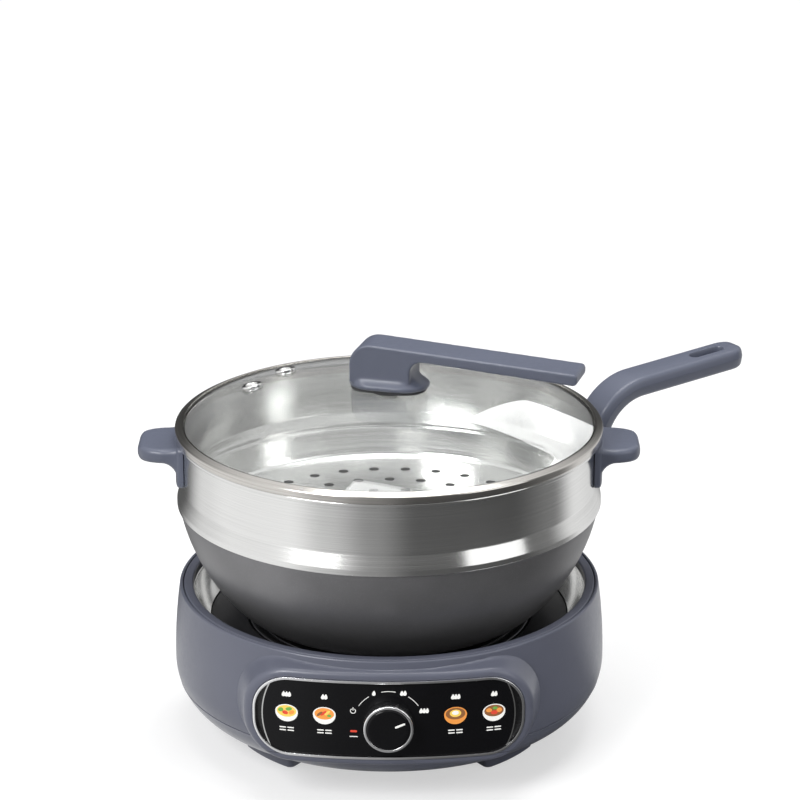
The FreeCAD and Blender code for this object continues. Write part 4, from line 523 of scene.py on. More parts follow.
markYellow = printed("markYellow", (0.90, 0.62, 0.12), 0.30)
markGreen = printed("markGreen", (0.16, 0.42, 0.07), 0.25)
markRed = printed("markRed", (0.70, 0.06, 0.03), 0.35)
markBrown = printed("markBrown", (0.30, 0.12, 0.04), 0.20)
print("finishes made")

# Base

base = {"floor": 137, "heelRound": 20, "heelAngle": 37, "rim": 161, "rimRound": 1.6, "seamGap": 0.4,
        "seamLip": 4, "wall": 2.5, "ledge": 108.2, "ringSeat": 158.7, "ledgeInner": 152.2, "inletInset": 0.2,
        "inletCorner": 3, "pillar": 5, "pillarTop": 83.2, "pillarCircle": 129}
floorVents = {"circle": 70, "length": 34, "width": 5, "count": 16}
housingLow, housingHigh = spanOf("upper_housing")
base["belly"] = housingHigh.x
base["top"] = housingHigh.z
base["seam"] = housingLow.z
base["bottom"] = spanOf("lower_housing")[0].z
heelX = base["floor"] + base["heelRound"] * sin(radians(base["heelAngle"]))
bellyArc = (base["belly"] - heelX) / (1 - sin(radians(base["heelAngle"])))
bellyHeight = (base["bottom"] + base["heelRound"] * (1 - cos(radians(base["heelAngle"])))
               + bellyArc * cos(radians(base["heelAngle"])))
taperStep = base["belly"] - base["rim"]
taperArc = ((base["top"] - bellyHeight) ** 2 + taperStep ** 2) / (2 * taperStep)


def housingRadius(height):
    # Outer radius of the housing at a height
    if height > bellyHeight:
        return base["belly"] - taperArc + sqrt(taperArc ** 2 - (height - bellyHeight) ** 2)
    drop = bellyHeight - height
    if drop < bellyArc * cos(radians(base["heelAngle"])):
        return base["belly"] - bellyArc + sqrt(bellyArc ** 2 - drop ** 2)
    rise = max(base["heelRound"] - (height - base["bottom"]), 0)
    return base["floor"] + sqrt(max(base["heelRound"] ** 2 - rise ** 2, 0))


def housingShells():
    wall = base["wall"]
    heelZ = base["bottom"] + base["heelRound"]
    bellyX = base["belly"] - bellyArc
    taperX = base["belly"] - taperArc
    seamTurn = -degrees(asin((bellyHeight - base["seam"]) / bellyArc))
    edgeTurn = -degrees(asin((bellyHeight - base["seam"] + base["seamGap"]) / bellyArc))
    shoulder = degrees(asin((base["top"] - base["rimRound"] - bellyHeight) / taperArc))
    rimX = housingRadius(base["top"] - base["rimRound"]) - base["rimRound"]
    outside = arc(bellyX, bellyHeight, bellyArc, seamTurn, 0, 14)[1:] + arc(
        taperX, bellyHeight, taperArc, 0, shoulder, 16)[1:]
    rim = arc(rimX, base["top"] - base["rimRound"], base["rimRound"], 0, 90, 6)[1:]
    under = base["ledge"] - wall
    back = arc(taperX, bellyHeight, taperArc - wall, shoulder * 0.8, 0, 8) + arc(
        bellyX, bellyHeight, bellyArc - wall, 0, seamTurn, 8)[1:]
    seamX = housingRadius(base["seam"])
    profile = ([(seamX - 0.15, base["seam"]), (seamX + 0.1, base["seam"] + 0.35)] + outside + rim
               + [(base["ringSeat"] + 0.4, base["top"]), (base["ringSeat"], base["top"] - 0.4),
                  (base["ringSeat"], base["ledge"]), (base["ledgeInner"], base["ledge"]),
                  (base["ledgeInner"], under)] + back)
    low, high = spanOf("power_inlet")
    inset = base["inletInset"]
    opening = oblong(low.x + inset, low.z + inset, high.x - inset, high.z - inset, base["inletCorner"])
    upper = carved(turned(profile, steps=240), slab(opening, -high.y - 5, -low.y, "XZ"))
    # The wall behind the panel is open
    gone = []
    for face in upper.faces:
        x, y, z = face.calc_center_median()
        if y < 0 and abs(x) < panel["openLong"] and abs(z - panel["middle"]) < panel["openTall"]:
            gone.append(face)
    bmesh.ops.delete(upper, geom=gone, context="FACES")
    piece(upper, "upperHousing", "base", housingPaint, ["upper_housing"])

    edge = base["seam"] - base["seamGap"]
    heelTurn = base["heelAngle"] - 90
    edgeX = housingRadius(edge)
    outside = (arc(base["floor"], heelZ, base["heelRound"], -90, heelTurn, 8)
               + arc(bellyX, bellyHeight, bellyArc, heelTurn, edgeTurn, 12)[1:-1])
    inside = (arc(bellyX, bellyHeight, bellyArc - wall, edgeTurn, heelTurn, 8)
              + arc(base["floor"], heelZ, base["heelRound"] - wall, heelTurn, -90, 6)[1:])
    lipTop = base["seam"] + base["seamLip"]
    lower = turned([(0, base["bottom"])] + outside + [
        (edgeX + 0.1, edge - 0.35), (edgeX - 0.15, edge), (edgeX - wall - 0.1, edge),
        (edgeX - wall - 0.1, lipTop), (edgeX - wall - 1.7, lipTop)] + inside[1:] + [
        (0, base["bottom"] + wall)], steps=240)
    circle, count = floorVents["circle"], floorVents["count"]
    reach, half = floorVents["length"] / 2, floorVents["width"] / 2
    way = oblong(circle - reach, -half, circle + reach, half, half * fullRound)
    slots = [swung(slab(way, base["bottom"] - 5, base["bottom"] + 8), 360 * number / count)
             for number in range(count)]
    piece(carved(lower, *slots), "lowerHousing", "base", housingPaint, ["lower_housing"])
    place = Matrix.Translation((base["pillarCircle"], 0, 0))
    posts = [swung(moved(rod(base["pillar"], base["bottom"] + 1, base["pillarTop"]), place), 90 * number)
             for number in range(4)]
    piece(joined(*posts), "floorPillars", "base", housingPaint)


# The panel sits on a soft boss at the front: depths are counted back from its curved face
panel = {"curve": 334, "front": -housingLow.y, "middle": 71, "halfLong": 99, "halfTall": 31, "corner": 27,
         "tallShare": 0.85, "crest": 2.2, "round": 5, "turn": 75, "blend": 5, "sink": 0.35, "openLong": 88,
         "openTall": 22, "trayInset": 2.05, "trayFront": 2.6, "trayBack": 5.4}


def panelFace(x):
    return -panel["front"] + panel["curve"] - sqrt(panel["curve"] ** 2 - x ** 2)


def panelLoop(offset, level=36, upright=3, bends=14):
    # Rounded outline of the bezel, grown by the offset; the steps along its level and upright sides and bends
    tall = panel["halfTall"] + (offset * panel["tallShare"] if offset > 0 else offset)
    long = panel["halfLong"] + offset
    corner = min(max(panel["corner"] + offset, 0.4), tall - 0.05)
    middle = panel["middle"]
    ends = ((long, middle + tall - corner), (-(long - corner), middle + tall),
            (-long, middle - tall + corner), (long - corner, middle - tall))
    points = []
    for quarter, (sx, sz) in enumerate(((1, -1), (1, 1), (-1, 1), (-1, -1))):
        start = -90 + 90 * quarter
        points += arc(sx * (long - corner), middle + sz * (tall - corner), corner, start, start + 90, bends)
        count = upright if quarter % 2 == 0 else level
        first = Vector(points[-1])
        last = Vector(ends[quarter])
        points += [tuple(first.lerp(last, step / count)) for step in range(1, count)]
    return points


def softMeet(boss, body):
    # The nearer of two surfaces, with a soft fillet between them; far outside the boss it sinks in
    blend = panel["blend"]
    share = max(blend - abs(boss - body), 0) / blend
    sink = panel["sink"] * min(max((boss - body) / blend, 0), 1)
    return min(boss, body) - share ** 2 * blend / 4 + sink


def panelBoss():
    section = [(0.25, 7), (0.25, 0.7), (0.4, 0.25), (0.8, 0)]
    crest, bend = panel["crest"], panel["round"]
    section += [(crest + bend * sin(radians(turn)), bend * (1 - cos(radians(turn))))
                for turn in range(0, panel["turn"] + 1, 15)]
    offset, depth = section[-1]
    slope = tan(radians(panel["turn"]))
    section += [(offset + step, depth + slope * step) for step in (0.7, 1.5, 2.4, 3.4, 4.4, 5.4)]
    loops = []
    for offset, depth in section:
        loop = []
        for x, z in panelLoop(offset):
            body = -sqrt(max(housingRadius(z) ** 2 - x ** 2, 0))
            y = panelFace(x) + depth
            loop.append((x, softMeet(y, body) if offset > 0.8 else y, z))
        loops.append(loop)
    piece(lofted(loops, False, False), "panelBoss", "base", bossPaint)


def onPanel(outline, depth, squeeze=1.0):
    # Lays an outline on the panel's curve at a depth; squeeze draws it towards the middle line
    return [(x, panelFace(x) + depth, panel["middle"] + (z - panel["middle"]) * squeeze) for x, z in outline]


def curvedPlate(loopAt, front, back, edge):
    # A plate between two depths with a rounded front edge and a face that follows the curve
    loops = [onPanel(loopAt(-edge), back, 0), onPanel(loopAt(0), back), onPanel(loopAt(0), front + edge)]
    for turn in (30, 60, 90):
        inset = edge * (1 - cos(radians(turn)))
        loops.append(onPanel(loopAt(-inset), front + edge * (1 - sin(radians(turn)))))
    loops += [onPanel(loopAt(-edge), front, squeeze) for squeeze in (0.9, 0.6, 0.3, 0)]
    return lofted(loops, False, False)


glass = {"half": 91.5, "lead": 8, "rise": 28.7, "front": 0.6, "back": 2.6}


def glassLoop(offset):
    rise = glass["rise"] + offset
    bulge = (glass["rise"] ** 2 + glass["lead"] ** 2) / (2 * glass["lead"]) + offset
    middle = glass["half"] + offset - bulge
    turn = degrees(asin(rise / bulge))
    right = arc(middle, panel["middle"], bulge, -turn, turn, 16)
    left = [(-x, panel["middle"] - (z - panel["middle"])) for x, z in right]
    top = [(right[-1][0] + (left[0][0] - right[-1][0]) * step / 40, right[-1][1]) for step in range(1, 40)]
    bottom = [(-x, panel["middle"] - (z - panel["middle"])) for x, z in top]
    return right + top + left + bottom


def panelPieces():
    # Bezel: a bright band that stands a little proud, as (offset, depth) round its section
    band = [(-2, 3.4), (-2, -0.4), (-1.85, -0.8), (-1.5, -1), (-0.5, -1), (-0.15, -0.8), (0, -0.4), (0, 5),
            (-2, 3.4)]
    bezel = lofted([onPanel(panelLoop(offset), depth) for offset, depth in band], False, False)
    piece(bezel, "panelBezel", "base", chromePolish, ["panel_bezel"])
    tray = curvedPlate(lambda offset: panelLoop(offset - panel["trayInset"]), panel["trayFront"],
                       panel["trayBack"], 0.3)
    piece(tray, "panelTray", "base", trayPlastic)
    piece(curvedPlate(glassLoop, glass["front"], glass["back"], 0.35), "panelGlass", "base", glossBlack,
          ["panel_glass"])
    # Painted highlight: a strip of polished steel along the glass's curved ends only stands in for the light
    # its edge catches
    line = [(0.02, 0.9), (0.02, 0.4), (0.9, 0.4), (0.9, 2.6)]
    highlightStrip = lofted([onPanel(glassLoop(offset), depth) for offset, depth in line], False, False)
    spare = [vert for vert in highlightStrip.verts if abs(vert.co.z - panel["middle"]) > glass["rise"] - 0.2]
    bmesh.ops.delete(highlightStrip, geom=spare, context="VERTS")
    piece(highlightStrip, "glassEdge", "base", rivetSteel)


dial = {"radius": 18.5, "ring": 2.6, "height": 10, "proud": 0.8, "pointer": 24, "pointerFrom": 5.3,
        "pointerTo": 13.3, "pointerHalf": 0.8}
dialLow, dialHigh = spanOf("dial_ring")
dial["z"] = (dialLow.z + dialHigh.z) / 2
dial["back"] = dialHigh.y


def onDial(shape):
    place = Matrix.Translation((0, dial["back"], dial["z"]))
    return moved(shape, place @ Matrix.Rotation(radians(90), 4, "X"))


def dialPieces():
    radius, inner, height = dial["radius"], dial["radius"] - dial["ring"], dial["height"]
    ring = rounded([(inner, 0), (radius - 0.2, 0, 0.3), (radius - 0.35, height, 1.1), (inner, height, 0.6)])
    piece(onDial(turned(ring, steps=120)), "dialRing", "dial", chromePolish, ["dial_ring"])
    top = height + dial["proud"]
    face = turned([(0, 1), (inner - 0.05, 1), (inner - 0.05, height - 0.5), (inner - 0.4, height + 0.2),
                   (inner - 1.2, top - 0.15), (inner - 2.2, top - 0.05), (inner - 4.5, top - 0.1),
                   (8, top - 0.22), (0, top - 0.25)], steps=120)
    way = oblong(dial["pointerFrom"], -dial["pointerHalf"], dial["pointerTo"], dial["pointerHalf"], 0.7)
    groove = swung(slab(way, top - 0.9, top + 1), dial["pointer"])
    piece(onDial(carved(face, groove)), "dialFace", "dial", glossBlack, ["dial_cap"])
    inlay = swung(softenEdges(slab(way, top - 0.85, top - 0.12), 0.12, segments=2), dial["pointer"])
    bmesh.ops.scale(inlay, vec=(0.985, 0.985, 1), verts=inlay.verts)
    piece(onDial(inlay), "dialPointer", "dial", markWhite, ["dial_pointer"])


# Marks on the panel: food bowls with a flame above and two short bars below, and the settings of the dial
marks = {"bowls": (-74, -46.5, 48.5, 76.5), "bowlHeight": 73.4, "bowlWide": 16.5, "flameHeight": 88,
         "flamePitch": 2.1, "barHeight": 60.6, "barShift": 2.9, "barReach": 2.4, "barStep": 1.1,
         "barHalf": 0.45, "thick": 0.16, "dialCircle": 26.2, "dialArc": 25.8, "arcHalf": 0.22, "arcGap": 11,
         "settings": (157.5, 112.5, 67.5, 22.5), "lens": (-25.3, 62.0)}
markDepth = glass["front"] - 0.04


def mark(outline, proud=0.0):
    # A printed shape: a thin plate that follows the panel
    shape = bmesh.new()
    face = shape.faces.new([shape.verts.new(point) for point in onPanel(outline, markDepth + 0.1)])
    front = bmesh.ops.extrude_face_region(shape, geom=[face])["geom"]
    bmesh.ops.translate(shape, vec=(0, -0.1 - marks["thick"] * 0.3 - proud, 0),
                        verts=[part for part in front if isinstance(part, bmesh.types.BMVert)])
    bmesh.ops.recalc_face_normals(shape, faces=shape.faces)
    return shape


def ellipse(x, z, wide, tall, sides=28, tilt=0.0, start=0.0, end=360.0):
    points = []
    for step in range(sides if end - start == 360 else sides + 1):
        turn = radians(start + (end - start) * step / sides)
        a, b = wide * cos(turn), tall * sin(turn)
        points.append((x + a * cos(radians(tilt)) - b * sin(radians(tilt)),
                       z + a * sin(radians(tilt)) + b * cos(radians(tilt))))
    return points


def flame(x, z, size):
    # A drop with a bent tip
    return [(x + size * (0.42 * sin(turn) * (1 - 0.35 * cos(turn)) + 0.1 * (1 + cos(turn)) ** 2 / 4),
             z + size * (0.62 * cos(turn) + 0.12 * max(cos(turn), 0) ** 3))
            for turn in [radians(angle) for angle in range(0, 360, 20)]]


# For each bowl its dish, its broth and the flames above it
dishes = ((markWhite, markYellow, 3), (markWhite, markOrange, 2), (markOrange, markBrown, 3),
          (markWhite, markBrown, 2))
# The food in each bowl: across, up, half width, half height, tilt
fillings = (
    ((-4.2, 0.8, 2.0, 1.6, 20, markGreen), (-1.0, -1.2, 2.2, 1.5, -15, markRed),
     (1.6, 1.8, 2.4, 1.4, 10, markGreen), (3.6, -0.8, 2.3, 1.6, 30, markOrange)),
    ((-3.4, -0.2, 2.6, 1.0, 40, markBrown), (-0.6, 0.4, 2.8, 1.0, 40, markRed),
     (2.2, 0.8, 2.6, 1.0, 40, markYellow), (3.6, -1.4, 1.6, 1.0, 0, markGreen)),
    ((0.0, 0.3, 4.2, 2.9, 0, markYellow), (0.0, 0.7, 2.6, 1.6, 0, markWhite)),
    ((-3.6, 0.6, 2.2, 1.6, 0, markOrange), (0.2, -1.4, 2.6, 1.6, 0, markRed),
     (0.8, 2.0, 1.8, 1.2, 0, markGreen), (3.8, 0.2, 2.0, 1.8, 0, markOrange)))


def flameRow(x, z, count, pitch, size):
    return [mark(flame(x + (number - (count - 1) / 2) * pitch, z, size)) for number in range(count)]


def panelMarks():
    byFinish = {}

    def add(surface, *shapes):
        byFinish.setdefault(surface.name, (surface, []))[1].extend(shapes)

    half = marks["bowlWide"] / 2
    level = marks["bowlHeight"]
    for x, (dish, broth, flames), filling in zip(marks["bowls"], dishes, fillings):
        add(dish, mark(ellipse(x, level + 0.9, half, 5.7)))
        add(dish, mark(ellipse(x, level + 0.6, half, 7.6, 24, 0, 180, 360)))
        add(broth, mark(ellipse(x, level + 1.3, half - 1.1, 4.6), 0.03))
        for dx, dz, wide, tall, tilt, surface in filling:
            add(surface, mark(ellipse(x + dx, level + 1.3 + dz, wide, tall, 18, tilt), 0.06))
        add(markWhite, *flameRow(x, marks["flameHeight"], flames, marks["flamePitch"], 3.0))
        for shift in (-marks["barShift"], marks["barShift"]):
            left, right = x + shift - marks["barReach"], x + shift + marks["barReach"]
            for row in (-marks["barStep"], marks["barStep"]):
                z = marks["barHeight"] + row
                add(markWhite, mark(oblong(left, z - marks["barHalf"], right, z + marks["barHalf"], 0.4, 3)))
    for number, turn in enumerate(marks["settings"]):
        x = marks["dialCircle"] * cos(radians(turn)) * 1.06
        z = dial["z"] + marks["dialCircle"] * sin(radians(turn))
        if number == 0:
            # Off: an open ring with a bar through its gap
            outer, inner = [ellipse(x, z, radius, radius, 24, 0, 120, 420) for radius in (2.1, 1.6)]
            add(markWhite, mark(outer + inner[::-1]))
            stem = [(x - 0.3, z + 0.4), (x + 0.3, z + 0.4), (x + 0.3, z + 2.8), (x - 0.3, z + 2.8)]
            add(markWhite, mark(stem))
        add(markWhite, *flameRow(x, z, number, 2.2, 2.9))
    for first, last in zip(marks["settings"], marks["settings"][1:]):
        start, end = first - marks["arcGap"], last + marks["arcGap"]
        radii = (marks["dialArc"] + marks["arcHalf"], marks["dialArc"] - marks["arcHalf"])
        outer, inner = [ellipse(0, dial["z"], radius, radius, 14, 0, start, end) for radius in radii]
        add(markWhite, mark(outer + inner[::-1]))
    lensX, lensZ = marks["lens"]
    add(markWhite, mark(oblong(lensX - 3, lensZ - 4.6, lensX + 3, lensZ - 3.9, 0.3, 3)))
    for surface, shapes in byFinish.values():
        piece(joined(*shapes), "marks." + surface.name[4:], "base", surface)
    way = oblong(lensX - 2.5, lensZ - 0.8, lensX + 2.5, lensZ + 0.8, 0.7, 4)
    lens = lofted([onPanel(way, 1.2), onPanel(way, 0.4)])
    piece(lens, "indicatorLens", "base", markRed, ["indicator_lens"])


bowl = {"mouth": 150.3, "bend": 1.5, "arc": 44.5, "top": 72.8, "foot": 42.8, "wall": 0.8, "flange": 157.5,
        "seat": 84.8, "seatInner": 126, "ringInner": 109.8, "ringWall": 1.2, "plateHole": 23.5,
        "plateStep": 62, "groove": 101}


def bowlPieces():
    topLevel = base["ledge"] + bowl["wall"]
    cx = bowl["mouth"] - bowl["arc"] * sin(radians(bowl["top"]))
    cz = topLevel - bowl["bend"] + bowl["arc"] * cos(radians(bowl["top"]))
    footX = cx + bowl["arc"] * sin(radians(bowl["foot"]))
    inside = arc(cx, cz, bowl["arc"], bowl["top"] - 90, bowl["foot"] - 90, 24)
    outside = arc(cx, cz, bowl["arc"] + bowl["wall"], bowl["foot"] - 90, bowl["top"] - 90, 16)
    bend = arc(bowl["mouth"] + bowl["bend"], topLevel - bowl["bend"], bowl["bend"], 90, 180, 8)
    profile = ([(bowl["flange"], topLevel)] + bend + inside[1:] + [
        (footX, bowl["seat"] + 0.6), (footX - 0.6, bowl["seat"]), (bowl["seatInner"], bowl["seat"]),
        (bowl["seatInner"], bowl["seat"] - bowl["wall"]), (footX + bowl["wall"], bowl["seat"] - bowl["wall"])]
        + outside + [(bowl["mouth"] + bowl["bend"] + 0.1, base["ledge"]), (bowl["flange"], base["ledge"])])
    piece(turned(profile, steps=200), "innerBowl", "base", bowlSteel, ["inner_bowl"])

    low, high = spanOf("top_ring")
    ringIn = bowl["mouth"] + 0.3
    ring = rounded([(ringIn, low.z), (high.x, low.z), (high.x, high.z, 1.4), (ringIn, high.z, 1.8)], 7)
    piece(turned(ring, steps=240), "topRing", "base", housingPaint, ["top_ring"])

    low, high = spanOf("heat_ring")
    inner, wall, foot = bowl["ringInner"], bowl["ringWall"], bowl["seat"] + 0.1
    cover = rounded([(inner, low.z), (inner + wall, low.z), (inner + wall, high.z - wall),
                     (high.x - wall, high.z - wall), (high.x - wall, foot), (high.x, foot),
                     (high.x, high.z, 1.1), (inner, high.z, 0.9)], 5)
    piece(turned(cover, steps=200), "heatRing", "base", ringEnamel, ["heat_ring"])

    low, high = spanOf("heating_plate")
    groove, hole = bowl["groove"], bowl["plateHole"]
    plate = rounded([(hole, low.z), (high.x, low.z), (high.x, high.z, 1.2), (groove + 3, high.z, 0.3),
                     (groove + 2.6, high.z - 1), (groove + 0.4, high.z - 1), (groove, high.z, 0.3),
                     (bowl["plateStep"], high.z), (hole, high.z, 0.8)], 4)
    piece(turned(plate, steps=200), "heatingPlate", "base", plateCoat, ["heating_plate"])

    low, high = spanOf("sensor_holder")
    cup = rounded([(3.05, low.z), (high.x, low.z), (high.x, high.z, 0.4), (high.x - 1.2, high.z, 0.4),
                   (high.x - 1.2, low.z + 2, 1.5), (5, low.z + 2), (5, low.z + 7, 0.4), (3.05, low.z + 7)], 4)
    piece(turned(cup, steps=96), "sensorHolder", "base", ringEnamel, ["sensor_holder"])

    low, high = spanOf("sensor_cap")
    cap = rounded([(high.x - 0.8, low.z), (high.x, low.z), (high.x, high.z, 1.6), (14.6, high.z, 0.3),
                   (14.3, high.z - 0.25, 0.2), (13.6, high.z - 0.25, 0.2), (13.3, high.z, 0.3), (0.0, high.z),
                   (0.0, high.z - 0.8), (high.x - 0.8, high.z - 0.8, 0.8)], 4)
    piece(turned(cap, steps=96), "sensorCap", "sensor", sensorSteel, ["sensor_cap"])


feet = {"inner": 96, "outer": 126, "span": 25, "angle": 48, "round": 4, "flare": 2.9, "low": 0.8}


def feetPieces():
    middle = (feet["inner"] + feet["outer"]) / 2

    def footLoop(grow):
        # A sector with rounded corners: drawn flat, then bent round the axis
        deep = (feet["outer"] - feet["inner"]) / 2 + grow
        wide = middle * radians(feet["span"]) / 2 + grow
        flat = divided(oblong(-deep, -wide, deep, wide, feet["round"], 6),
                       lambda run, index: ceil(run.length / 5))
        return [((middle + x) * cos(y / middle), (middle + x) * sin(y / middle)) for x, y in flat]

    # The foot flares towards the floor of the housing and ends a little inside it
    levels = [(-1.0, feet["low"]), (0, feet["low"] + 1.0)] + [
        (feet["flare"] * share ** 3, feet["low"] + 1 + (base["bottom"] + 3.2 - feet["low"] - 1) * share)
        for share in (0.2, 0.4, 0.55, 0.7, 0.8, 0.9, 1.0)]
    for corner, turn in (("front_left", 270 - feet["angle"]), ("front_right", 270 + feet["angle"]),
                         ("rear_left", 90 + feet["angle"]), ("rear_right", 90 - feet["angle"])):
        loops = [[(x, y, z) for x, y in footLoop(grow)] for grow, z in levels]
        piece(swung(lofted(loops), turn), "foot." + corner, "base", footPlastic, ["foot_" + corner])


housingShells()
panelBoss()
panelPieces()
dialPieces()
panelMarks()
bowlPieces()
feetPieces()
print("base made")


# Pan

pan = {"base": 78.5, "heelRound": 61.7, "heelTurn": 47.3, "wall": 2, "azimuth": 32, "rivetTurn": 8,
       "rivetHeight": 152, "rivetHead": 7, "rivetRise": 3, "strapWide": 27, "strapDeep": 5, "strapWall": 1.9,
       "strapLevel": 165, "strapBend": 9, "plateSpan": 24, "plateLow": 139, "plateOut": 2.1, "shank": 2.6}
grip = {"root": (181, 183), "rootLean": 62, "rootLeg": 53, "slope": 4, "reach": 129, "bend": 46, "thick": 17,
        "wide": 31, "tipRound": 14.5, "edge": 5.5, "slotBack": 32, "slotLong": 32, "slotWide": 10}
panLow, panHigh = spanOf("pan_shell")
kneeX = pan["base"] + pan["heelRound"] * sin(radians(pan["heelTurn"]))
kneeZ = panLow.z + pan["heelRound"] * (1 - cos(radians(pan["heelTurn"])))
panRun, panClimb = panHigh.x - kneeX, panHigh.z - kneeZ
panArc = (panRun ** 2 + panClimb ** 2) / 2 / (panClimb * cos(radians(pan["heelTurn"]))
                                             - panRun * sin(radians(pan["heelTurn"])))
panX = kneeX - panArc * sin(radians(pan["heelTurn"]))
panZ = kneeZ + panArc * cos(radians(pan["heelTurn"]))


def panRadius(height, inset=0):
    return panX + sqrt((panArc - inset) ** 2 - (height - panZ) ** 2)


def bentPath(start, lean, first, slope, second, bend, steps=12):
    # A straight run, a tangent arc and a second run: (x, z, heading) with the distance along it
    turn = slope - lean
    cut = bend * tan(radians(abs(turn)) / 2)
    stations = [(*start, lean)]
    count = max(2, int((first - cut) / 4))
    for step in range(1, count + 1):
        stations.append((*along(start, lean, (first - cut) * step / count), lean))
    side = 1 if turn > 0 else -1
    cx = stations[-1][0] - side * bend * sin(radians(lean))
    cz = stations[-1][1] + side * bend * cos(radians(lean))
    for step in range(1, steps + 1):
        heading = lean + turn * step / steps
        stations.append((cx + side * bend * sin(radians(heading)), cz - side * bend * cos(radians(heading)),
                         heading))
    corner = stations[-1][:2]
    count = max(2, int((second - cut) / 4))
    for step in range(1, count + 1):
        stations.append((*along(corner, slope, (second - cut) * step / count), slope))
    return stations


def sectionAt(station, outline):
    # Stands an outline, (across, up), square to the path
    x, z, heading = station
    side, rise = sin(radians(heading)), cos(radians(heading))
    return [(x - up * side, across, z + up * rise) for across, up in outline]


def dome(radius, rise, shank, depth, steps=6):
    # A domed head above Z 0 with its shank below
    bulge = (radius ** 2 + rise ** 2) / (2 * rise)
    turn = degrees(asin(radius / bulge))
    return turned([(0, -depth), (shank, -depth), (shank, -0.05), (radius - 0.3, -0.05), (radius, 0.15)]
                  + arc(0, rise - bulge, bulge, 90 - turn + 2, 90, steps), steps=40)


def gripOutline(wide, thick, edge):
    # Crowned top, a ridge along both sides and a softer underside
    half, top = wide / 2, thick / 2
    edge = min(edge, half * 0.9, top * 0.9)
    ridge = min(1.4, half * 0.2)
    low = half - ridge * 1.8
    crown = half - ridge
    return rounded([(crown, top, edge * 0.8), (-crown, top, edge * 0.8), (-half, top * 0.15, 1.2),
                    (-low, -top, edge), (low, -top, edge), (half, top * 0.15, 1.2)])


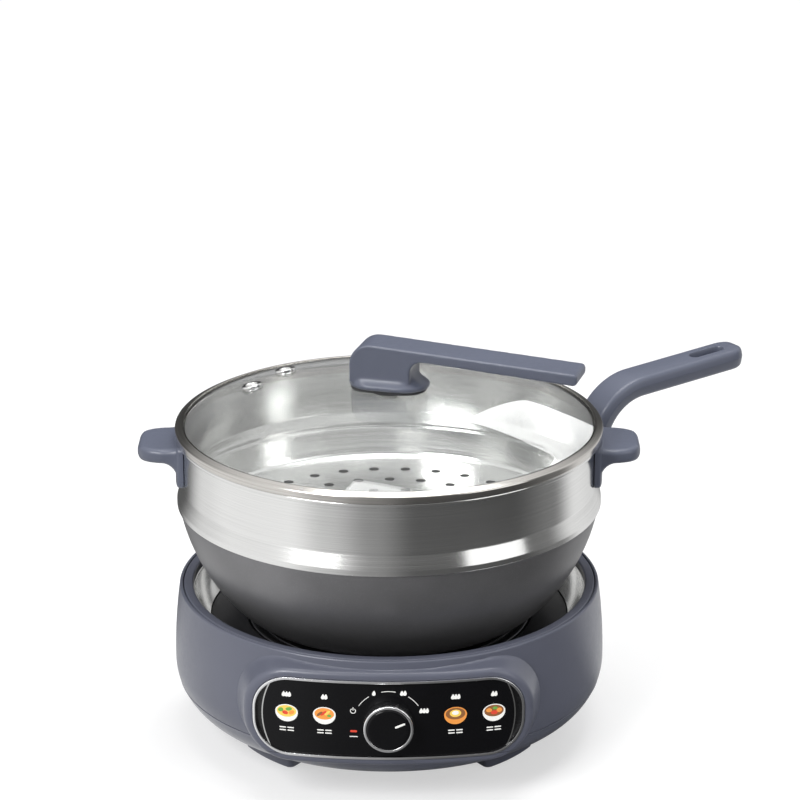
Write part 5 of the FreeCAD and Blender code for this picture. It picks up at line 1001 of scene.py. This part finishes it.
def panPieces():
    wall = pan["wall"]
    low, top = panLow.z, panHigh.z
    topTurn = degrees(asin((top - 1 - panZ) / panArc))
    rimMid = panRadius(top - 1, 1)
    profile = ([(0, low), (pan["base"] - 1, low)]
               + arc(pan["base"], low + pan["heelRound"], pan["heelRound"], -90, pan["heelTurn"] - 90, 12)
               + arc(panX, panZ, panArc, pan["heelTurn"] - 90, topTurn, 22)[1:]
               + arc(rimMid, top - 1, 1, 0, 180, 6)[1:-1]
               + arc(panX, panZ, panArc - wall, topTurn, pan["heelTurn"] - 90, 22)
               + arc(pan["base"], low + pan["heelRound"], pan["heelRound"] - wall, pan["heelTurn"] - 90, -90,
                     12)[1:]
               + [(pan["base"] * 0.5, low + wall), (0, low + wall)])
    piece(turned(profile, steps=224), "panShell", "pan", panInside, ["pan_shell"])

    height = pan["rivetHeight"]
    lean = 90 - degrees(asin((height - panZ) / panArc))
    rivets = []
    for side in (-1, 1):
        turn = pan["azimuth"] + side * pan["rivetTurn"]
        inside = moved(dome(pan["rivetHead"], pan["rivetRise"], pan["shank"], 5), Matrix.Rotation(pi, 4, "Y"))
        rivets.append(perched(inside, turn, lean, panRadius(height, wall) - 0.15, height))
        outside = dome(5.2, 1.4, pan["shank"], 2)
        rivets.append(perched(outside, turn, lean, panRadius(height, -pan["plateOut"]), height))
    piece(joined(*rivets), "panRivets", "pan", rivetSteel, ["pan_rivets"])

    # Plate against the pan's wall, then a channel that bends up to the handle
    levels = [pan["plateLow"] + step * 2.9 for step in range(11)]
    plate = turned([(panRadius(levels[0], -0.1), levels[0])]
                   + [(panRadius(level, -pan["plateOut"]), level) for level in levels]
                   + [(panRadius(level, -0.1), level) for level in levels[:0:-1]],
                   steps=24, angle=pan["plateSpan"])
    outer, low, high = pan["strapWide"] / 2, -1, pan["strapDeep"] - 1
    inner, sheet = outer - pan["strapWall"], pan["strapWall"] - 1
    channel = rounded([(outer, low, 2.2), (outer, high, 0.8), (inner, high, 0.8), (inner, sheet, 1.2),
                       (-inner, sheet, 1.2), (-inner, high, 0.8), (-outer, high, 0.8), (-outer, low, 2.2)], 4)
    rise = grip["root"][1] - pan["strapLevel"]
    reach = rise / sin(radians(grip["rootLean"])) + 14
    start = panRadius(pan["strapLevel"], -0.6)
    bendX = grip["root"][0] - rise / tan(radians(grip["rootLean"]))
    path = bentPath((start, pan["strapLevel"]), 0, bendX - start, grip["rootLean"], reach, pan["strapBend"],
                    8)
    strap = lofted([sectionAt(station, channel) for station in path])
    piece(swung(joined(plate, strap), pan["azimuth"]), "panBracket", "pan", strapSteel, ["pan_bracket"])

    path = bentPath(grip["root"], grip["rootLean"], grip["rootLeg"], grip["slope"], grip["reach"],
                    grip["bend"], 18)
    # Extra stations where the tip and the root round off
    *tip, heading = path[-1]
    while dist(path[-1][:2], tip) < grip["tipRound"]:
        path.pop()
    for turn in range(80, -1, -8):
        back = grip["tipRound"] * (1 - cos(radians(turn)))
        path.append((*along(tip, heading, -back), heading))
    *root, rootHeading = path[0]
    path = path[2:]
    for turn in range(84, -1, -12):
        onward = grip["edge"] * (1 - cos(radians(turn)))
        path.insert(0, (*along(root, rootHeading, onward), rootHeading))
    loops = []
    for station in path:
        fromTip = dist(station[:2], tip)
        fromRoot = dist(station[:2], root)
        wide, thick = grip["wide"], grip["thick"]
        if fromTip < grip["tipRound"]:
            wide -= 2 * (grip["tipRound"] - sqrt(grip["tipRound"] ** 2 - (grip["tipRound"] - fromTip) ** 2))
        for distance in (fromTip, fromRoot):
            if distance < grip["edge"]:
                inset = grip["edge"] - sqrt(grip["edge"] ** 2 - (grip["edge"] - distance) ** 2)
                thick -= 2 * inset
                wide -= 2 * inset if distance == fromRoot else 0
        loops.append(sectionAt(station, gripOutline(wide, thick, grip["edge"])))
    handle = lofted(loops)
    # The hanging slot flares above and below the handle: level, growth
    way = []
    for level, grow in ((-14, 1.6), (-10.4, 1.6), (-7.6, 0), (7.6, 0), (10.4, 1.8), (14, 1.8)):
        long, wide = grip["slotLong"] / 2 + grow, grip["slotWide"] / 2 + grow
        way.append([(x, y, level) for x, y in oblong(-long, -wide, long, wide, wide * fullRound, 8)])
    x, z = along(tip, heading, -grip["slotBack"])
    slot = moved(lofted(way), Matrix.Translation((x, 0, z)) @ Matrix.Rotation(-radians(heading), 4, "Y"))
    piece(swung(carved(handle, slot), pan["azimuth"]), "panHandle", "pan", handlePlastic, ["pan_handle"])


# Steamer

tier = {"radius": 157, "sheet": 0.8, "beadOut": 160.5, "beadTall": 3.5, "flare": 161.5, "flareLow": 185,
        "flareHigh": 196, "skirtArc": 142.1, "bend": 6, "hole": 4, "pitch": 24, "rings": 5, "rivetTurn": 6.5,
        "rivetHeight": 211}
wing = {"inner": 157.15, "flange": 162.1, "span": 22, "low": 198, "high": 230.5, "paddleLow": 217,
        "paddleHigh": 228, "rootHalf": 30, "tipHalf": 23, "reach": 190, "corner": 12, "edge": 4, "fillet": 9}


def tierPieces():
    low, high = spanOf("steamer_body")
    shoulder = panHigh.z
    sheet, radius = tier["sheet"], tier["radius"]

    def skirtAt(height, inset=0):
        return panX + sqrt((tier["skirtArc"] - inset) ** 2 - (height - panZ) ** 2)

    bendZ = low.z + tier["bend"]
    bendX = skirtAt(bendZ) - tier["bend"]
    heights = [bendZ + (shoulder - bendZ) * step / 6 for step in range(7)]
    outside = [(0, low.z)] + arc(bendX, bendZ, tier["bend"], -90, 0, 8)
    outside += [(skirtAt(height), height) for height in heights[1:-1]]
    bead = high.z - tier["beadTall"]
    outside += rounded([(skirtAt(shoulder), shoulder, 0.5), (tier["flare"], shoulder, 0.5),
                        (tier["flare"], tier["flareLow"], 2.5), (radius, tier["flareHigh"], 5),
                        (radius, bead, 0.4), (tier["beadOut"], bead, 1.3),
                        (tier["beadOut"], high.z, 1.3), (radius - sheet, high.z, 1.2),
                        (radius - sheet, tier["flareHigh"] - sheet / 2, 5),
                        (tier["flare"] - sheet, tier["flareLow"] - sheet / 2, 2),
                        (tier["flare"] - sheet, shoulder + sheet, 0.3),
                        (skirtAt(shoulder + sheet, sheet), shoulder + sheet, 0.3),
                        (skirtAt(heights[-2], sheet), heights[-2])], 4)
    inside = [(skirtAt(height, sheet), height) for height in heights[-3:0:-1]]
    inside += arc(bendX, bendZ, tier["bend"] - sheet, 0, -90, 8) + [(0, low.z + sheet)]
    shape = turned(outside + inside, steps=224)
    holes = [rod(tier["hole"], low.z - 4, low.z + 5, 20)]
    for ring in range(1, tier["rings"] + 1):
        place = Matrix.Translation((ring * tier["pitch"], 0, 0))
        holes += [swung(moved(rod(tier["hole"], low.z - 4, low.z + 5, 20), place), 60 * number / ring)
                  for number in range(6 * ring)]
    piece(carved(shape, *holes), "steamerBody", "steamer", tierSteel, ["steamer_body"])
    rivets = []
    for turn in (tier["rivetTurn"], -tier["rivetTurn"], 180 + tier["rivetTurn"], 180 - tier["rivetTurn"]):
        head = moved(dome(4, 1.6, 2, 4), Matrix.Rotation(pi, 4, "Y"))
        rivets.append(perched(head, turn, 90, radius - sheet - 0.05, tier["rivetHeight"]))
    piece(joined(*rivets), "steamerRivets", "steamer", rivetSteel, ["steamer_rivets"])


def wingPieces():
    ring = wing["flange"]

    def wingLoop(reach, half, low, high, corner, curl):
        # A section across the wing; curl 1 follows the tier's wall, 0 stands square
        corner = min(corner, half * 0.95, (high - low) / 2 * 0.95)
        outline = divided(oblong(-half, low, half, high, corner, 6),
                          lambda run, index: ceil(abs(run.x) / 4) if index % 7 == 6 else 1)
        return [(reach - curl * (ring - sqrt(ring ** 2 - y ** 2)), y, z) for y, z in outline]

    flangeHalf = ring * sin(radians(wing["span"] / 2))
    rings = [(wing["inner"], flangeHalf - 0.5, wing["low"] + 0.5, wing["high"] - 0.5, 4, 1),
             (wing["inner"] + 0.4, flangeHalf, wing["low"], wing["high"], 4.5, 1),
             (ring - 1.6, flangeHalf, wing["low"], wing["high"], 4.5, 1),
             (ring - 0.5, flangeHalf - 0.5, wing["low"] + 0.5, wing["high"] - 0.4, 4.5, 1),
             (ring, flangeHalf - 1.6, wing["low"] + 1.6, wing["high"] - 1.2, 4.5, 1)]
    for turn in range(0, 91, 15):
        share = sin(radians(turn))
        outward = wing["fillet"] * (1 - cos(radians(turn)))
        half = flangeHalf - 1.6 - (flangeHalf - 1.6 - wing["rootHalf"] + 1.5) * share
        rings.append((ring + outward, half, wing["paddleLow"] - wing["fillet"] * (1 - share),
                      wing["high"] - 1.2 - (wing["high"] - 1.2 - wing["paddleHigh"]) * share, 4.5, 1 - share))
    start = rings[-1][0]
    rootHalf = rings[-1][1]
    tips = [start + (wing["reach"] - wing["corner"] - start) * step / 4 for step in range(1, 5)]
    tips += [wing["reach"] - wing["corner"] * (1 - cos(radians(turn))) for turn in range(80, -1, -10)]
    for reach in tips:
        half = rootHalf + (wing["tipHalf"] - rootHalf) * (reach - start) / (wing["reach"] - start)
        left = wing["reach"] - reach
        inset = 0
        if left < wing["corner"]:
            half -= wing["corner"] - sqrt(wing["corner"] ** 2 - (wing["corner"] - left) ** 2)
        if left < wing["edge"]:
            inset = wing["edge"] - sqrt(wing["edge"] ** 2 - (wing["edge"] - left) ** 2)
        rings.append((reach, half, wing["paddleLow"] + inset, wing["paddleHigh"] - inset, wing["edge"], 0))
    loops = [wingLoop(*section) for section in rings]
    # The back closes along its middle line, so that it keeps the wall's curve
    middle = (wing["low"] + wing["high"]) / 2
    loops.insert(0, [(x, y, middle) for x, y, z in loops[0]])
    for side, turn in (("right", 0), ("left", 180)):
        piece(swung(lofted(loops, first=False), turn), "steamerHandle." + side, "steamer", handlePlastic,
              ["steamer_handle_" + side])


# Lid

lid = {"sphere": 459.2, "centre": -193.3, "thick": 4, "edge": 160.6, "hole": 4, "ventCircle": 113,
       "vents": (("vent_rear", 136), ("vent_left", 159)), "ventHole": 5.8, "azimuth": -16, "cover": 155.5,
       "lip": 155.4, "sheet": 0.8}
lift = {"back": -27, "front": 20, "reach": 148, "wide": 31, "arm": 9, "droop": 10, "throat": 10, "corner": 16,
        "footLong": 62, "footWide": 40, "neckLong": 46, "footShift": 0.5, "foot": 3, "flare": 14, "edge": 3.2}


def lidPieces():
    outer = lid["sphere"] + lid["thick"]

    def over(radius, extra=0):
        return lid["centre"] + sqrt((outer + extra) ** 2 - radius ** 2)

    edgeTurn = degrees(asin(lid["edge"] / lid["sphere"]))
    holeTurn = degrees(asin(lid["hole"] / lid["sphere"]))
    edgeTop = degrees(asin(lid["edge"] / outer))
    glassShape = turned(arc(0, lid["centre"], lid["sphere"], 90 - holeTurn, 90 - edgeTurn, 20)
                        + [(lid["edge"] + 0.2, over(lid["edge"]) - 2)]
                        + arc(0, lid["centre"], outer, 90 - edgeTop, 90 - holeTurn, 20), steps=160)
    tilt = degrees(asin(lid["ventCircle"] / outer))
    grommet = rounded([(3, -5), (7, -5, 0.3), (7, -4.1), (5.7, -4.1), (5.7, 0.1), (8, 0.1), (8, 1.6, 1.0),
                       (6.9, 2.0, 0.5), (5.2, 1.7, 0.8), (3.6, -1, 1.2), (3, -2.5)], 4)
    holes = []
    for node, turn in lid["vents"]:
        spot = (turn, tilt, lid["ventCircle"], over(lid["ventCircle"]))
        holes.append(perched(rod(lid["ventHole"], -10, 10), *spot))
        piece(perched(turned(grommet, steps=48), *spot), "lidVent." + node[5:], "lid", rivetSteel, [node])
    piece(carved(glassShape, *holes), "lidGlass", "lid", lidClear, ["lid_glass"])

    low, high = spanOf("lid_rim")
    seat, sheet = spanOf("steamer_body")[1].z, lid["sheet"]
    inner = lid["lip"] - sheet
    band = rounded([(inner, low.z), (lid["lip"], low.z), (lid["lip"], seat, 0.5), (high.x, seat, 1.6),
                    (high.x, high.z - 2.4, 1.8), (lid["cover"] + 1.5, high.z, 1.2),
                    (lid["cover"], high.z - 0.3, 0.3),
                    (lid["cover"], over(lid["cover"], 0.1)), (high.x - sheet, over(lid["edge"], 0.1), 1.2),
                    (high.x - sheet, seat + sheet, 0.9), (inner, seat + sheet, 0.4)], 5)
    piece(turned(band, steps=240), "lidRim", "lid", rimSteel, ["lid_rim"])

    bottom, top = [corner.z for corner in spanOf("lid_handle")]
    back, front, reach, droop = lift["back"], lift["front"], lift["reach"], lift["droop"]
    sag = droop * (front + lift["throat"]) / reach
    half = lift["wide"] / 2
    heel = bottom + lift["foot"] + 1
    side = rounded([(back, heel, 1), (front, heel, 1), (front, top - lift["arm"] - sag + 0.6, lift["throat"]),
                    (reach, top - lift["arm"] - droop, 3), (reach, top - droop, 3),
                    (back, top, lift["corner"])], 8)

    def onSide(edge):
        first, last = [vert.co.y for vert in edge.verts]
        return abs(abs(first) - half) < 0.01 and abs(first - last) < 0.01

    arm = softenEdges(slab(side, -half, half, "XZ"), lift["edge"], onSide, 5)
    # The foot narrows upwards from its seat on the glass
    neckLong, neckWide = lift["neckLong"], lift["wide"] - 2.6
    loops = []
    for step in range(-2, 9):
        share = max(step, 0) / 8
        spread = (1 - share) ** 2.2
        shrink = (0.8, 0.2, 0)[min(step + 2, 2)]
        long = (neckLong + (lift["footLong"] - neckLong) * spread) / 2 - shrink
        wide = (neckWide + (lift["footWide"] - neckWide) * spread) / 2 - shrink
        corner = min(7 + 13 * spread, wide - 0.2)
        middle = (front + back) / 2 * (1 - spread) + lift["footShift"] * spread
        if step < 0:
            level = bottom + (0, 0.6)[step + 2]
        else:
            level = bottom + lift["foot"] + (lift["flare"] - lift["foot"]) * share
        loops.append([(middle + x, y, level) for x, y in oblong(-long, -wide, long, wide, corner, 8)])
    handle = moulded(0.85, 8, lofted(loops), arm)
    bore = rod(lid["hole"], bottom - 5, bottom + 1.2, 24)
    piece(swung(carved(handle, bore), lid["azimuth"]), "lidHandle", "lid", handlePlastic, ["lid_handle"],
          sharp=60)


panPieces()
tierPieces()
wingPieces()
lidPieces()
print("pan, steamer and lid made")

# Pieces that keep their built shape and get a finish
builtFinishes = (
    (blackPlastic, ("power_inlet", "rotary_switch", "panel_tray")),
    (rubber, ("pad_front_left", "pad_front_right", "pad_rear_left", "pad_rear_right")),
    (zincSteel, ("heater_tray", "plate_posts", "bowl_screws", "board_screws", "pan_handle_screw", "lid_screw",
                 "element_terminals")),
    (elementSteel, ("heating_element",)),
    (boardGreen, ("control_board",)),
    (componentBlack, ("board_parts",)),
    (ceramicWhite, ("thermal_fuse",)),
    (brassPin, ("inlet_pins",)),
    (sensorSteel, ("sensor_spring", "sensor_stem", "dial_shaft")),
    (gasketRubber, ("lid_gasket", "lid_washer")))


def finishBuiltPieces():
    for surface, names in builtFinishes:
        for name in names:
            thing = cadNodes[name]
            for place in thing.material_slots:
                place.material = surface
            if not thing.material_slots:
                thing.data.materials.append(surface)


finishBuiltPieces()


# Studio: pale floor and soft lamps; polished metal sees bright and dark sectors round the floor

studio = {"floor": 14.0, "ambient": 0.30, "target": (0.0083, 0.0, 0.2588), "distance": 2.2, "elevation": 19,
          "lens": 131, "paper": 0.50, "lift": 0.55, "nearFloor": 0.45, "farFloor": 1.3,
          "lampTarget": (0, 0, 0.15)}
lamps = {"key": ((-1.3, -1.5, 1.7), 1.1, 40), "fill": ((1.7, -1.1, 1.0), 1.3, 8),
         "top": ((0.1, 0.2, 2.1), 1.3, 26), "back": ((0.8, 1.7, 1.2), 0.9, 14)}
# Brightness round the axis as metal sees it: degrees from the front, positive to the right
sectors = ((-180, 0.05), (-140, 0.10), (-112, 0.85), (-90, 1.0), (-50, 1.0), (-30, 0.62), (-8, 0.30),
           (14, 0.10), (62, 0.06), (92, 0.20), (112, 0.90), (140, 0.75), (163, 0.08))
white = (1, 1, 1, 1)


def seenDirectly(tree):
    # Two masks: rays that reach the eye straight, by a mirror or through glass, and mirrored ones alone
    paths = tree.nodes.new("ShaderNodeLightPath")
    through = paths.outputs["Is Transmission Ray"]
    shiny = calculate(tree, "MAXIMUM", paths.outputs["Is Glossy Ray"], through)
    notThrough = calculate(tree, "SUBTRACT", 1.0, through)
    mirrored = calculate(tree, "MULTIPLY", paths.outputs["Is Glossy Ray"], notThrough)
    return calculate(tree, "MAXIMUM", paths.outputs["Is Camera Ray"], shiny), mirrored


def sectorLight(tree, vector):
    # The sectors' brightness in a direction, with the direction's height
    split = tree.nodes.new("ShaderNodeSeparateXYZ")
    tree.links.new(vector, split.inputs[0])
    x, y, z = split.outputs
    turn = calculate(tree, "ARCTAN2", x, calculate(tree, "MULTIPLY", y, -1.0))
    ramp = tree.nodes.new("ShaderNodeValToRGB")
    ramp.color_ramp.interpolation = "EASE"
    for number, (angle, bright) in enumerate(sectors):
        place = (angle + 180) / 360
        stop = ramp.color_ramp.elements[0] if number == 0 else ramp.color_ramp.elements.new(place)
        stop.position = place
        stop.color = (bright, bright, bright, 1)
    ramp.color_ramp.elements[-1].color = ramp.color_ramp.elements[0].color
    tree.links.new(calculate(tree, "MULTIPLY_ADD", turn, 1 / (2 * pi), 0.5), ramp.inputs[0])
    return ramp.outputs[0], z


def aimed(thing, place, target):
    thing.location = place
    thing.rotation_euler = (Vector(target) - Vector(place)).to_track_quat("-Z", "Y").to_euler()


def makeStudio():
    scene.world = bpy.data.worlds.new("studio")
    scene.world.use_nodes = True
    tree = scene.world.node_tree
    backdrop = tree.nodes["Background"]
    direction = tree.nodes.new("ShaderNodeTexCoord").outputs["Generated"]
    bands, height = sectorLight(tree, direction)
    seen, glossy = seenDirectly(tree)
    metalSees = calculate(tree, "MAXIMUM", bands, remap(tree, height, 0.35, 0.8))
    shown = calculate(tree, "ADD", calculate(tree, "MULTIPLY", metalSees, glossy),
                      calculate(tree, "SUBTRACT", 1.0, glossy))
    backdrop.inputs["Color"].default_value = white
    unseen = calculate(tree, "SUBTRACT", 1.0, seen)
    level = calculate(tree, "ADD", calculate(tree, "MULTIPLY", seen, shown),
                      calculate(tree, "MULTIPLY", unseen, studio["ambient"]))
    tree.links.new(level, backdrop.inputs["Strength"])

    grey = (studio["paper"],) * 3
    ground = Finish("floorPaper", grey, 0.7)
    tree = ground.tree
    ground.shader.inputs["Specular IOR Level"].default_value = 0.1
    paper = ground.effect(mouldedSkin, Peel=40.0)
    seen, glossy = seenDirectly(tree)
    bands, height = sectorLight(tree, ground.position)
    length = tree.nodes.new("ShaderNodeVectorMath")
    length.operation = "LENGTH"
    tree.links.new(ground.position, length.inputs[0])
    far = remap(tree, length.outputs["Value"], studio["nearFloor"], studio["farFloor"])
    plain = ground.mix(paper["Cloud"], shade(grey, 0.99), shade(grey, 1.01))
    shown = ground.mix(glossy, white, bands)
    away = calculate(tree, "MULTIPLY", seen, calculate(tree, "MAXIMUM", far, glossy))
    ground.feed("Base Color", ground.mix(away, plain, (0, 0, 0, 1)))
    ground.feed("Emission Color", shown)
    glow = calculate(tree, "ADD", studio["lift"], calculate(tree, "MULTIPLY", away, 1 - studio["lift"]))
    ground.feed("Emission Strength", calculate(tree, "MULTIPLY", seen, glow))
    shape = bmesh.new()
    bmesh.ops.create_circle(shape, cap_ends=True, segments=96, radius=studio["floor"])
    mesh = bpy.data.meshes.new("floor")
    shape.to_mesh(mesh)
    shape.free()
    mesh.materials.append(ground.material)
    floor = bpy.data.objects.new("floor", mesh)
    scene.collection.objects.link(floor)

    for name, (place, size, power) in lamps.items():
        light = bpy.data.lights.new(name, "AREA")
        light.size = size
        light.energy = power
        lamp = bpy.data.objects.new(name, light)
        scene.collection.objects.link(lamp)
        aimed(lamp, place, studio["lampTarget"])
        lamp.visible_glossy = name != "back"

    view = bpy.data.cameras.new("camera")
    view.lens = studio["lens"]
    view.clip_end = 60
    camera = bpy.data.objects.new("camera", view)
    scene.collection.objects.link(camera)
    turn = radians(studio["elevation"])
    target = Vector(studio["target"])
    aimed(camera, target + Vector((0, -cos(turn), sin(turn))) * studio["distance"], target)
    scene.camera = camera
    scene.view_settings.view_transform = "Standard"


makeStudio()
print("studio made")
bpy.context.view_layer.update()
